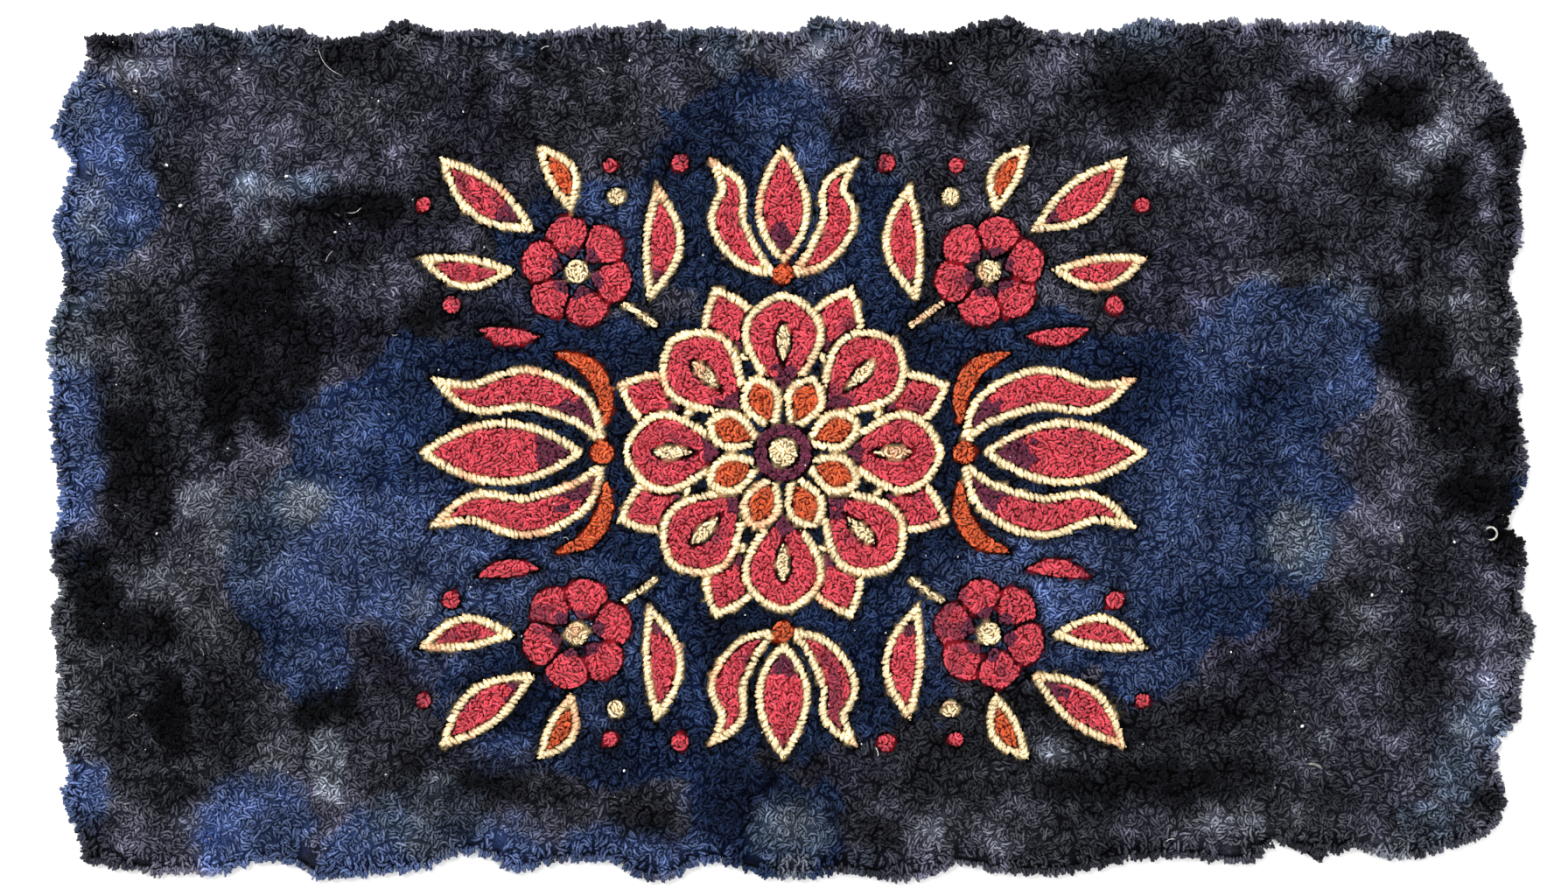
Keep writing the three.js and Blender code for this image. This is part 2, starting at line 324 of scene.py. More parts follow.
        (447, -272, 10, 8, 0.4), (-526, -115, 8, 16, 0.7), (0, -300, 12, 8, 0.7),
        (-256, -250, 14, 14, 0.35),
    ],
}
STAINS = {tint: [Stain(*row) for row in rows] for tint, rows in STAIN_ROWS.items()}

# How many millimetres a tint takes to fade at its border; the others take this many
SOFT_FADE = 9
FADE = {"blue": 3, "pale": 5, "ash": 20, "denim": 14, "navy": 14}

# The most of its own half size that a small stain's fade takes, and the half sizes below which the big
# and the small lobes at a stain's border shrink with it
FADE_SHARE = 0.8
BIG_LOBES_FROM = 45
SMALL_LOBES_FROM = 14

# How much the tone and the grain change the ground's strength, and how much less they do so in blue
TONE_RANGE = 3.2
GRAIN_RANGE = 2.0
BLUE_TONE_LESS = 1.6
BLUE_GRAIN_LESS = 0.8
GRAIN_MIDDLE = 0.48

# Each noise: the size of its bumps, its seed, how many layers of finer detail it has, and how far it
# swings where it is used as a swing to both sides
Noise = namedtuple("Noise", "size seed layers swing")
NOISES = {
    "drift x": Noise(40, 3, 4, 18),
    "drift y": Noise(40, 4, 4, 18),
    "ragged border": Noise(8, 9, 1, 6),
    "tone": Noise(46, 11, 5, 1),
    "grain": Noise(15, 12, 3, 1),
    "gold tint": Noise(26, 41, 4, 1),
    "red tint": Noise(30, 42, 4, 1),
    "yarn strength": Noise(12, 43, 4, 0.36),
    "root border": Noise(6, 44, 1, 0.16),
    "design crest": Noise(16, 45, 2, 1.2),
    "crease": Noise(70, 55, 4, 1),
    "creased patch": Noise(85, 56, 1, 1),
    "crack": Noise(7, 57, 1, 1),
    "crest": Noise(40, 62, 2, 2.8),
    "shadow": Noise(14, 63, 1, 0.8),
    "bed lump": Noise(13, 81, 2, 1),
}
Lobes = namedtuple("Lobes", "size seed swing")
BIG_LOBES = Lobes(44, 5, 22)
SMALL_LOBES = Lobes(17, 7, 10)
TONE_LOBES = Lobes(24, 14, 0.12)

# The weight and the seed of each layer of a noise, against the layer before it
LAYER_SHARE = 0.55
LAYER_SEED = 31


# Noise

def lattice(ix, iy, seed):
    """A repeatable random number from 0 to 1 for each whole-number place."""
    mask = 0xFFFFFFFF
    h = (ix * 374761393 + iy * 668265263 + seed * 1013904223) & mask
    h = ((h ^ (h >> 13)) * 1274126177) & mask
    return ((h ^ (h >> 16)) & 0xFFFF) / 65535.0


def smooth_noise(points, size, seed):
    """Smooth noise from 0 to 1 whose bumps are about size millimetres across."""
    scaled = points / size
    cell = np.floor(scaled).astype(np.int64)
    part = scaled - cell
    ease = part * part * (3 - 2 * part)
    ix, iy = cell[:, 0], cell[:, 1]
    near = lattice(ix, iy, seed) * (1 - ease[:, 0]) + lattice(ix + 1, iy, seed) * ease[:, 0]
    far = lattice(ix, iy + 1, seed) * (1 - ease[:, 0]) + lattice(ix + 1, iy + 1, seed) * ease[:, 0]
    return near * (1 - ease[:, 1]) + far * ease[:, 1]


def noise(points, name):
    """A noise of the table, with finer and finer detail on it, from 0 to 1 and mostly round 0.5."""
    size, seed, layers, _ = NOISES[name]
    total, weight = 0.0, 0.0
    for layer in range(layers):
        share = LAYER_SHARE ** layer
        total = total + share * smooth_noise(points, size / 2 ** layer, seed + LAYER_SEED * layer)
        weight += share
    return total / weight


def swing(points, name):
    """A noise of the table as a swing to both sides of nothing."""
    return NOISES[name].swing * (noise(points, name) - 0.5)


def step(low, high, value):
    """0 below low, 1 above high, and smooth between them."""
    t = np.clip((value - low) / (high - low), 0, 1)
    return t * t * (3 - 2 * t)


def mix(a, b, share):
    return a + (b - a) * np.reshape(share, (-1, 1))


def scattered(points, size, seed):
    """For each point, the chance places of the nine cells round it, in cells of a size."""
    cell = np.floor(points / size).astype(np.int64)
    places = []
    for dx in (-1, 0, 1):
        for dy in (-1, 0, 1):
            ix, iy = cell[:, 0] + dx, cell[:, 1] + dy
            places.append(np.column_stack([ix + lattice(ix, iy, seed), iy + lattice(ix, iy, seed + 1)]))
    return np.stack(places, axis=1)


# Directions and lines

def unit(vectors):
    return vectors / np.maximum(np.linalg.norm(vectors, axis=-1, keepdims=True), 1e-9)


def bearing(angles):
    """The flat direction at each angle."""
    return np.stack([np.cos(angles), np.sin(angles)], axis=-1)


def left_of(ways):
    """The flat direction to the left of each way."""
    return np.stack([-ways[..., 1], ways[..., 0]], axis=-1)


def raised(flat, tall=0):
    """Flat places or directions with their heights added."""
    tall = np.broadcast_to(tall, flat.shape[:-1])
    return np.concatenate([flat, tall[..., None]], axis=-1)


def signed_area(line):
    """The area within a closed line, below 0 where it runs clockwise."""
    x, y = line[:, 0], line[:, 1]
    return 0.5 * np.sum(x * np.roll(y, -1) - np.roll(x, -1) * y)


# The ground's colour

def lobes(points, kind):
    """Rounded lobes with sharp creases between them, as a swing: highest in the middle of a lobe."""
    off = scattered(points, kind.size, kind.seed) - (points / kind.size)[:, None]
    return kind.swing * (0.5 - np.minimum(np.linalg.norm(off, axis=2).min(axis=1), 1))


def stain_cover(points, tint, big_lobes, small_lobes):
    """How strongly a tint's stains cover each point, from 0 to 1."""
    cover = np.zeros(len(points))
    fade = FADE.get(tint, SOFT_FADE)
    for stain in STAINS[tint]:
        off = (points - (stain.x, stain.y)) / (stain.rx, stain.ry)
        least = min(stain.rx, stain.ry)
        depth = (1 - np.linalg.norm(off, axis=1)) * least
        depth = depth + big_lobes * min(1, least / BIG_LOBES_FROM)
        depth = depth + small_lobes * min(1, least / SMALL_LOBES_FROM)
        soft = min(fade, FADE_SHARE * least)
        cover = np.maximum(cover, stain.amount * step(-soft, soft, depth))
    return cover


def ground_colour(points):
    """The ground's dyed colour: a grey that wanders, with each tint's stains over it, and uneven in
    strength.
    """
    moved = points + np.column_stack([swing(points, "drift x"), swing(points, "drift y")])
    big_lobes = lobes(moved, BIG_LOBES)
    small_lobes = lobes(moved, SMALL_LOBES) + swing(points, "ragged border")
    colour = np.broadcast_to(LIGHT["violet_grey"], (len(points), 3))
    for tint in STAINS:
        colour = mix(colour, LIGHT[tint], stain_cover(points, tint, big_lobes, small_lobes))
    tone = swing(moved, "tone") + lobes(moved, TONE_LOBES)
    grain = noise(points, "grain") - GRAIN_MIDDLE
    blueness = stain_cover(points, "blue", big_lobes, small_lobes)
    strength = (TONE_RANGE - BLUE_TONE_LESS * blueness) * tone
    strength = strength + (GRAIN_RANGE - BLUE_GRAIN_LESS * blueness) * grain
    return colour * np.exp(strength)[:, None]


# Meshes made of many small closed yarn shapes

# The height of the low corners of a ring of three points, as a share of its radius
RING_LOW = -0.5


def ring_turn(sides):
    """The angles of a ring's points, of which the first is at the top."""
    return 2 * math.pi * np.arange(sides) / sides + math.pi / 2


def strand_points(paths, radii, across, sides):
    """The points of closed strands: a tip, a ring of points at each inner place of the path, a tip."""
    ahead = unit(paths[:, 2:] - paths[:, :-2])
    side = unit(across if across.ndim == 3 else np.broadcast_to(across[:, None, :], ahead.shape))
    up = unit(np.cross(ahead, side))
    turn = ring_turn(sides)
    ring = np.cos(turn)[:, None] * side[:, :, None, :] + np.sin(turn)[:, None] * up[:, :, None, :]
    rings = paths[:, 1:-1, None, :] + radii[:, 1:-1, None, None] * ring
    count = len(paths)
    return np.concatenate([paths[:, :1], rings.reshape(count, -1, 3), paths[:, -1:]], axis=1)


def strand_faces(rings, sides):
    """The triangles of one closed strand."""
    last = 1 + rings * sides
    faces = []
    for k in range(sides):
        after = (k + 1) % sides
        faces.append((0, 1 + after, 1 + k))
        for ring in range(rings - 1):
            a, b = 1 + ring * sides + k, 1 + ring * sides + after
            faces.append((a, b + sides, a + sides))
            faces.append((a, b, b + sides))
        faces.append((last, last - sides + k, last - sides + after))
    return np.array(faces)


Strands = namedtuple("Strands", "points faces colours curls")


def strands(paths, radii, across, colours, crest=None, sides=3):
    """Points, triangles and yarn values of many like strands. A curl value has three parts: a random
    one, how near the point is to the crest, and how far up its own side it is; the last two set the yarn's
    painted shade.

    A colour is given for each strand, or for each place along each one. Crest is the height from which
    the painted root shade is measured, and is the strand's own top where it isn't given."""
    count, places = radii.shape
    points = strand_points(paths, radii, across, sides)
    size = points.shape[1]
    faces = strand_faces(places - 2, sides)[None] + (np.arange(count) * size)[:, None, None]
    tall = points[:, :, 2]
    high = tall.max(axis=1, keepdims=True)
    along = np.concatenate([[0], np.repeat(np.arange(1, places - 1), sides), [places - 1]])
    if crest is not None:
        high = crest[:, along]
    tip = np.clip(1 - (high - tall) / SHADE_DEPTH, 0, 1)
    chance = np.repeat(rng.random((count, 1)), size, axis=1)
    height = np.sin(ring_turn(sides))
    rise = np.clip((height - RING_LOW) / (1 - RING_LOW), 0, 1)
    side = np.concatenate([[0], np.tile(rise, places - 2), [0]])
    curls = np.stack([chance, tip, np.broadcast_to(side, tip.shape)], axis=2)
    spread = colours[:, along] if colours.ndim == 3 else np.repeat(colours[:, None, :], size, axis=1)
    return Strands(points.reshape(-1, 3), faces.reshape(-1, 3), spread.reshape(-1, 3), curls.reshape(-1, 3))


def together(parts):
    """Several sets of strands as one."""
    starts = np.cumsum([0] + [len(part.points) for part in parts[:-1]])
    moved = [part._replace(faces=part.faces + start) for part, start in zip(parts, starts)]
    return Strands(*[np.concatenate(values) for values in zip(*moved)])


def make_mesh(name, points, faces):
    """A mesh object from points in millimetres and triangles."""
    mesh = bpy.data.meshes.new(name)
    mesh.vertices.add(len(points))
    mesh.vertices.foreach_set("co", (points * MM).astype(np.float32).ravel())
    mesh.loops.add(faces.size)
    mesh.loops.foreach_set("vertex_index", faces.astype(np.int32).ravel())
    mesh.polygons.add(len(faces))
    mesh.polygons.foreach_set("loop_start", np.arange(0, faces.size, 3, dtype=np.int32))
    mesh.polygons.foreach_set("use_smooth", np.ones(len(faces), bool))
    mesh.update(calc_edges=True)
    mesh.validate()
    thing = bpy.data.objects.new(name, mesh)
    bpy.context.scene.collection.objects.link(thing)
    return thing


BAKE_MARGIN = 0.002


def add_bake_map(thing):
    """A map seen from straight above, stretched to fill the square."""
    mesh = thing.data
    flat = np.zeros(len(mesh.vertices) * 3, np.float32)
    mesh.vertices.foreach_get("co", flat)
    flat = flat.reshape(-1, 3)[:, :2]
    low, high = flat.min(axis=0), flat.max(axis=0)
    flat = BAKE_MARGIN + (1 - 2 * BAKE_MARGIN) * (flat - low) / (high - low)
    corner = np.zeros(len(mesh.loops), np.int32)
    mesh.loops.foreach_get("vertex_index", corner)
    layer = mesh.uv_layers.new(name="OFBake")
    layer.data.foreach_set("uv", flat[corner].astype(np.float32).ravel())


def pile_piece(name, made, material):
    """A piece of pile, with its yarn's colour, painted shade and shadow included where given, and its curl
    values on its points.
    """
    thing = make_mesh(name, made.points, made.faces)
    colour = thing.data.attributes.new("dye_and_shade", "FLOAT_COLOR", "POINT")
    full = np.column_stack([made.colours, np.ones(len(made.colours))])
    colour.data.foreach_set("color", full.astype(np.float32).ravel())
    curl = thing.data.attributes.new("curl", "FLOAT_VECTOR", "POINT")
    curl.data.foreach_set("vector", made.curls.astype(np.float32).ravel())
    add_bake_map(thing)
    thing.data.materials.append(material)
    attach(thing, "root")
    return thing


# The rug's outline, read from the CAD solid: the height of its widest line, how far a point of it may
# be from that, the pitch of the points along it, and how many of them away its direction is taken
EDGE_WIDEST = 4.5
EDGE_TOLERANCE = 0.05
EDGE_PITCH = 1.0
EDGE_SPAN = 4


def outline_from_cad():
    """The widest line of the solid, in order round it, with a point for about each millimetre."""
    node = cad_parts["rug"].data
    points = np.array([v.co for v in node.vertices]) / MM
    widest = np.abs(points[:, 2] - EDGE_WIDEST) < EDGE_TOLERANCE
    ring = np.unique(points[widest][:, :2].round(3), axis=0)
    ring = ring[np.argsort(np.arctan2(ring[:, 1], ring[:, 0]))]
    return resampled(ring, EDGE_PITCH)


def resampled(line, pitch):
    """Points at an even pitch along a closed line."""
    line = np.vstack([line, line[:1]])
    length = np.concatenate([[0], np.cumsum(np.linalg.norm(np.diff(line, axis=0), axis=1))])
    at = np.arange(0, length[-1] - pitch / 2, pitch)
    return np.column_stack([np.interp(at, length, line[:, 0]), np.interp(at, length, line[:, 1])])


def outline_reach(outline, points):
    """How far the outline is from the middle, in the direction of each point."""
    turn = np.arctan2(outline[:, 1], outline[:, 0])
    order = np.argsort(turn)
    reach = np.linalg.norm(outline, axis=1)
    return np.interp(np.arctan2(points[:, 1], points[:, 0]), turn[order], reach[order], period=2 * math.pi)


def tree_of(points):
    tree = KDTree(len(points))
    for index, (x, y) in enumerate(points):
        tree.insert((x, y, 0), index)
    tree.balance()
    return tree


def nearest(tree, points):
    """The distance from each point to the nearest one in the tree, and which one that is."""
    found = [tree.find((x, y, 0))[1:] for x, y in points]
    return np.array([f[1] for f in found]), np.array([f[0] for f in found])


def outward_of(outline):
    """The outward direction at each point of a closed line that runs counter-clockwise."""
    return -left_of(unit(np.roll(outline, -EDGE_SPAN, axis=0) - np.roll(outline, EDGE_SPAN, axis=0)))


def inside(outline, points):
    """Which points lie inside a closed line."""
    result = np.zeros(len(points), bool)
    x, y = points[:, 0], points[:, 1]
    for (ax, ay), (bx, by) in zip(outline, np.roll(outline, -1, axis=0)):
        if ay != by:
            crosses = (ay > y) != (by > y)
            result ^= crosses & (x < (bx - ax) * (y - ay) / (by - ay) + ax)
    return result


# The shapes of the floral design

Shape = namedtuple("Shape", "outline fill rim root_fill", defaults=(None, None))

# The points along a smooth line and along a leaf's side, and the least half width of a band
ROUTE_POINTS = 60
LEAF_POINTS = 40
BAND_LEAST = 0.6


def smooth_route(points, values):
    """A smooth line through a few points, with a value carried along it."""
    rows = np.column_stack([points, values]).astype(float)
    rows = np.vstack([2 * rows[0] - rows[1], rows, 2 * rows[-1] - rows[-2]])
    route = []
    spans = len(rows) - 3
    for at in np.linspace(0, spans, ROUTE_POINTS):
        k = min(int(at), spans - 1)
        t = at - k
        p0, p1, p2, p3 = rows[k:k + 4]
        route.append(0.5 * (2 * p1 + (p2 - p0) * t + (2 * p0 - 5 * p1 + 4 * p2 - p3) * t * t
                            + (3 * p1 - p0 - 3 * p2 + p3) * t ** 3))
    return np.array(route)


def band(points, half_widths):
    """A tapering band along a smooth line."""
    route = smooth_route(points, half_widths)
    ahead = unit(np.gradient(route[:, :2], axis=0))
    left = left_of(ahead) * np.maximum(route[:, 2:], BAND_LEAST)
    return np.vstack([route[:, :2] - left, (route[:, :2] + left)[::-1]])


def leaf(root, tip, half_width, belly=0.5, bow=0.0, fullness=1.0):
    """A leaf or petal from root to tip, widest at belly of its length, bowed to one side."""
    root, tip = np.array(root, float), np.array(tip, float)
    t = np.linspace(0, 1, LEAF_POINTS)
    left = left_of(unit(tip - root))
    middle = root + t[:, None] * (tip - root) + (4 * bow * t * (1 - t))[:, None] * left
    reach = half_width * np.sin(math.pi * t ** (math.log(0.5) / math.log(belly))) ** fullness
    side = reach[:, None] * left
    return np.vstack([middle - side, (middle + side)[::-1]])


def disc(middle, radius):
    turn = np.linspace(0, 2 * math.pi, LEAF_POINTS, endpoint=False)
    return np.array(middle) + radius * bearing(turn)


def turned(outline, degrees):
    a = math.radians(degrees)
    return outline @ np.array([[math.cos(a), math.sin(a)], [-math.sin(a), math.cos(a)]])


def rosette():
    """The flower in the middle, its top shapes first."""
    shapes = [Shape(disc((0, 0), 11), "gold"), Shape(disc((0, 0), 21), "plum")]
    for k in range(8):
        petal = leaf((14, 0), (60, 0), 15, 0.6, 0, 0.75)
        shapes.append(Shape(turned(petal, 45 * k + 22.5), "orange", "gold"))
    for k in range(8):
        heart = leaf((62, 0), (94, 0), 5.5, 0.6, 0, 0.8)
        petal = leaf((34, 0), (116, 0), 30, 0.63, 0, 0.66)
        shapes.append(Shape(turned(heart, 45 * k), "gold"))
        shapes.append(Shape(turned(petal, 45 * k), "red", "gold", "plum"))
    for k in range(8):
        tip = leaf((70, 0), (130, 0), 20, 0.5)
        shapes.append(Shape(turned(tip, 45 * k + 22.5), "red", "gold", "plum"))
    return shapes


def side_flower():
    """The open bud on the right."""
    petal = band([(130, 8), (148, 32), (184, 46), (222, 40), (254, 54)], [3, 13, 16, 12, 1.5])
    sepal = band([(128, 20), (128, 42), (140, 62), (164, 72)], [3, 6.5, 7, 1.5])
    return [
        Shape(disc((130, 0), 9), "orange"),
        Shape(leaf((142, 0), (262, 0), 24, 0.5, 0, 0.85), "red", "gold", "plum"),
        Shape(petal, "red", "gold", "plum"),
        Shape(petal * (1, -1), "red", "gold", "plum"),
        Shape(sepal, "orange"),
        Shape(sepal * (1, -1), "orange"),
    ]


def top_bud():
    """The closed bud above the middle."""
    petal = band([(6, 128), (26, 142), (40, 166), (37, 190), (54, 212)], [3, 11, 14, 10, 1.5])
    return [
        Shape(disc((0, 128), 8), "orange"),
        Shape(leaf((0, 136), (0, 222), 20, 0.45, 0, 0.85), "red", "gold", "plum"),
        Shape(petal, "red", "gold"),
        Shape(petal * (-1, 1), "red", "gold"),
    ]


def corner_spray():
    """The flower on its stem, with leaves and berries, of the upper right quarter."""
    middle = (148, 130)
    flower = [Shape(disc(middle, 9), "gold")]
    for k in range(6):
        petal = leaf((9, 0), (41, 0), 16, 0.62, 0, 0.66)
        flower.append(Shape(turned(petal, 60 * k + 15) + middle, "red", None, "plum"))
    return flower + [
        Shape(band([(90, 90), (104, 100), (116, 108)], [3, 3, 3]), "gold"),
        Shape(leaf((176, 158), (248, 214), 16, 0.5, -5), "red", "gold", "plum"),
        Shape(leaf((190, 132), (264, 142), 13, 0.5, -8), "red", "gold"),
        Shape(leaf((152, 170), (178, 222), 12, 0.5, 7), "orange", "gold"),
        Shape(leaf((98, 106), (92, 196), 15, 0.5, 9), "red", "gold", "plum"),
        Shape(leaf((172, 84), (222, 90), 7, 0.5, -4), "red"),
        Shape(disc((120, 184), 7), "gold"),
        Shape(disc((124, 206), 6), "red"),
        Shape(disc((74, 208), 7), "red"),
        Shape(disc((218, 170), 6), "gold"),
        Shape(disc((258, 178), 6), "red"),
        Shape(disc((238, 106), 7), "red"),
    ]


def mirrored(shapes, flip):
    return [shape._replace(outline=shape.outline * flip) for shape in shapes]


def design_shapes():
    """All the shapes, with those that lie over others first."""
    shapes = rosette() + side_flower() + mirrored(side_flower(), (-1, 1))
    shapes += top_bud() + mirrored(top_bud(), (1, -1))
    for flip in ((1, 1), (-1, 1), (1, -1), (-1, -1)):
        shapes += mirrored(corner_spray(), flip)
    return [shape._replace(outline=tidy_outline(shape.outline)) for shape in shapes]


def tidy_outline(outline):
    """The outline in the rug's frame, evenly stepped and counter-clockwise."""
    route = resampled(outline + (DESIGN_X, DESIGN_Y), DESIGN_PITCH)
    return route if signed_area(route) > 0 else route[::-1]


# The plan: a fine grid over the rug that says what lies in each cell

GROUND = 0
NOTHING = -1
YARN_NAMES = ["red", "gold", "orange", "plum"]


def grid_over(outline):
    """The lowest corner of the grid, and its rows and columns."""
    low = outline.min(axis=0) - FIELD_MARGIN
    columns, rows = np.ceil((outline.max(axis=0) + FIELD_MARGIN - low) / FIELD_CELL).astype(int)
    return low, rows, columns


def edge_gap(points, outline):
    return np.linalg.norm(points[:, None] - outline[None], axis=2).min(axis=1)


def code(yarn):
    return YARN_NAMES.index(yarn) + 1


def parts_of(shape, places, within, gap):
    """The yarn of each place inside a shape, or nothing where no curl may have its middle line."""
    root = shape.outline[0]
    reach = np.linalg.norm(shape.outline - root, axis=1).max()
    share = np.linalg.norm(places - root, axis=1) / reach + swing(places, "root border")
    part = np.full(len(places), code(shape.fill))
    if shape.root_fill:
        part[share < ROOT_SHARE] = code(shape.root_fill)
    if shape.rim:
        part[gap < RIM_BAND + FILL_MARGIN] = NOTHING
        part[gap < RIM_BAND - RIM_MARGIN] = code(shape.rim)
    part[~within | (gap < BARE_MARGIN)] = NOTHING
    return part


def design_plan(shapes, outline):
    """The plan of the whole rug: ground, nothing, or a yarn's code. The top shapes are laid last."""
    low, rows, columns = grid_over(outline)
    plan = np.full((rows, columns), GROUND)
    for shape in reversed(shapes):
        first = np.floor((shape.outline.min(axis=0) - SHAPE_GAP - low) / FIELD_CELL).astype(int)
        last = np.ceil((shape.outline.max(axis=0) + SHAPE_GAP - low) / FIELD_CELL).astype(int) + 1
        x, y = np.meshgrid(np.arange(first[0], last[0]), np.arange(first[1], last[1]))
        places = low + FIELD_CELL * np.column_stack([x.ravel(), y.ravel()])
        within, gap = inside(shape.outline, places), edge_gap(places, shape.outline)
        view = plan[first[1]:last[1], first[0]:last[0]]
        old = view.ravel()
        clear = np.where(old == GROUND, gap < GROUND_GAP, gap < SHAPE_GAP)
        new = np.where(within | clear, parts_of(shape, places, within, gap), old)
        view[:] = new.reshape(view.shape)
    return plan


def plan_at(plan, outline, places):
    """The plan's value at each place."""
    low, rows, columns = grid_over(outline)
    column, row = np.round((places - low) / FIELD_CELL).astype(int).T
    return plan[np.clip(row, 0, rows - 1), np.clip(column, 0, columns - 1)]


# The slanted loops of the design's rims

Loop = namedtuple("Loop", "x y angle yarn")


def clear_of(points, outlines, margin):
    """Which points are outside all the outlines, by a margin."""
    clear = np.ones(len(points), bool)
    for outline in outlines:
        low, high = outline.min(axis=0) - margin, outline.max(axis=0) + margin
        near = clear & np.all((points > low) & (points < high), axis=1)
        if near.any():
            there = points[near]
            clear[near] = ~inside(outline, there) & (edge_gap(there, outline) > margin)
    return clear


def rim_loops(shape, above):
    """Loops of the rim's yarn, slanted across a band just inside the outline."""
    outward = outward_of(shape.outline)
    middle = shape.outline - outward * RIM_BAND / 2
    good = inside(shape.outline, middle) & clear_of(middle, above, SHAPE_GAP)
    good &= edge_gap(middle, shape.outline) > RIM_SHARP * RIM_BAND / 2
    loops = []
    for (x, y), (nx, ny), fine in zip(middle, outward, good):
        if fine and all(math.hypot(x - l.x, y - l.y) > RIM_LOOP_PITCH for l in loops):
            loops.append(Loop(x, y, math.atan2(ny, nx) + math.radians(RIM_LOOP_SLANT), shape.rim))
    return loops


def design_loops(shapes):
    loops = []
    for index, shape in enumerate(shapes):
        if shape.rim:
            loops += rim_loops(shape, [other.outline for other in shapes[:index]])
    return loops


Tint = namedtuple("Tint", "yarn noise start full most")
YARN_TINTS = {
    "gold": Tint("orange", "gold tint", 0.58, 0.74, 0.45),
    "red": Tint("plum", "red tint", 0.6, 0.8, 0.7),
}


def yarn_colour(places, yarn):
    """A yarn's colour at each place, with the uneven tint of hand-dyed wool."""
    colour = np.broadcast_to(LIGHT[yarn], (len(places), 3))
    if yarn in YARN_TINTS:
        tint = YARN_TINTS[yarn]
        share = tint.most * step(tint.start, tint.full, noise(places, tint.noise))
        colour = mix(colour, LIGHT[tint.yarn], share)
    return colour * (1 + swing(places, "yarn strength"))[:, None]


# A rim's loop at each step from one root to the other: its way along, its sway to a side, its thickness
LOOP_STEPS = np.array([-1, -0.74, 0, 0.74, 1])
LOOP_SWAY = np.array([0, -0.6, 1, -0.6, 0])
LOOP_TAPER = np.array([0, 0.9, 1.0, 0.9, 0])

# How unlike the loops are: the spread of their places and angles, and the least and most of the rest
LOOP_PLACE_SPREAD = 0.25
LOOP_ANGLE_SPREAD = 0.22
LOOP_WIDTHS = (0.85, 1.2)
LOOP_LENGTHS = (0.88, 1.12)
LOOP_TOPS = (-0.8, 0.3)
LOOP_SWAYS = (-0.6, 0.6)
LOOP_OVERRUN = 0.8
LOOP_FLATNESS = 4


def loop_strands(loops, yarn):
    """The rims' loops of a yarn: each rises from the cloth, bends over and goes down again."""
    mine = [loop for loop in loops if loop.yarn == yarn]
    count = len(mine)
    places = np.array([(loop.x, loop.y) for loop in mine]) + rng.normal(0, LOOP_PLACE_SPREAD, (count, 2))
    angles = np.array([loop.angle for loop in mine]) + rng.normal(0, LOOP_ANGLE_SPREAD, count)
    widths = RIM_LOOP_WIDTH * rng.uniform(*LOOP_WIDTHS, count)
    lengths = (RIM_BAND + LOOP_OVERRUN) * rng.uniform(*LOOP_LENGTHS, count)
    tops = DESIGN_TOP - widths / 2 + rng.uniform(*LOOP_TOPS, count)
    ahead = bearing(angles)
    left = left_of(ahead)
    sway = rng.uniform(*LOOP_SWAYS, (count, 1)) * LOOP_SWAY
    run = (lengths / 2)[:, None] * LOOP_STEPS
    flat = places[:, None] + run[:, :, None] * ahead[:, None] + sway[:, :, None] * left[:, None]
    tall = ROOT_HEIGHT + (tops - ROOT_HEIGHT)[:, None] * (1 - np.abs(LOOP_STEPS) ** LOOP_FLATNESS)
    radii = (widths / 2)[:, None] * LOOP_TAPER
    return strands(raised(flat, tall), radii, raised(left), yarn_colour(places, yarn), sides=4)


def fill_strands(lines, yarn):
    """The curls of a yarn that fill the design's shapes."""
    made = []
    for nodes in by_node_count(lines):
        flat = with_ends(nodes)
        every = flat.reshape(-1, 2)
        crest = DESIGN_TOP + swing(every, "design crest").reshape(flat.shape[:2])
        colours = yarn_colour(every, yarn).reshape(*flat.shape[:2], 3)
        made.append(strands(*laid_curls(flat, crest, crest, colours)))
    return made


# The ground's curls

Field = namedtuple("Field", "low taken stencil")


def disc_of_cells(radius):
    reach = math.ceil(radius / FIELD_CELL)
    span = np.arange(-reach, reach + 1) * FIELD_CELL
    return span[:, None] ** 2 + span[None, :] ** 2 <= radius ** 2


def cell_at(field, x, y):
    return round((y - field.low[1]) / FIELD_CELL), round((x - field.low[0]) / FIELD_CELL)


def take(field, x, y, stencil):
    """Marks the cells round a place as taken."""
    row, column = cell_at(field, x, y)
    half = len(stencil) // 2
    field.taken[row - half:row + half + 1, column - half:column + half + 1] |= stencil


def ground_field(plan, outline):
    """Where the ground's curls may lie: on the rug, off its edge and off its design."""
    low, rows, columns = grid_over(outline)
    x, y = np.meshgrid(low[0] + FIELD_CELL * np.arange(columns), low[1] + FIELD_CELL * np.arange(rows))
    places = np.column_stack([x.ravel(), y.ravel()])
    off = np.linalg.norm(places, axis=1) > outline_reach(outline, places)
    on = np.flatnonzero(~off)
    off[on] = cracked(places[on]) | cleft(places[on], outline)
    field = Field(low.tolist(), off.reshape(rows, columns) | (plan != GROUND), disc_of_cells(CURL_SPACING))
    for x, y in outline:
        take(field, x, y, disc_of_cells(EDGE_KEEP))
    return field


def yarn_field(plan, outline, loops, yarn):
    """Where the curls of one of the design's yarns may lie: in its parts of the plan, clear of the loops."""
    low = grid_over(outline)[0]
    field = Field(low.tolist(), plan != code(yarn), disc_of_cells(FILL_SPACING))
    for loop in loops:
        take(field, loop.x, loop.y, disc_of_cells(RIM_LOOP_REACH))
    return field


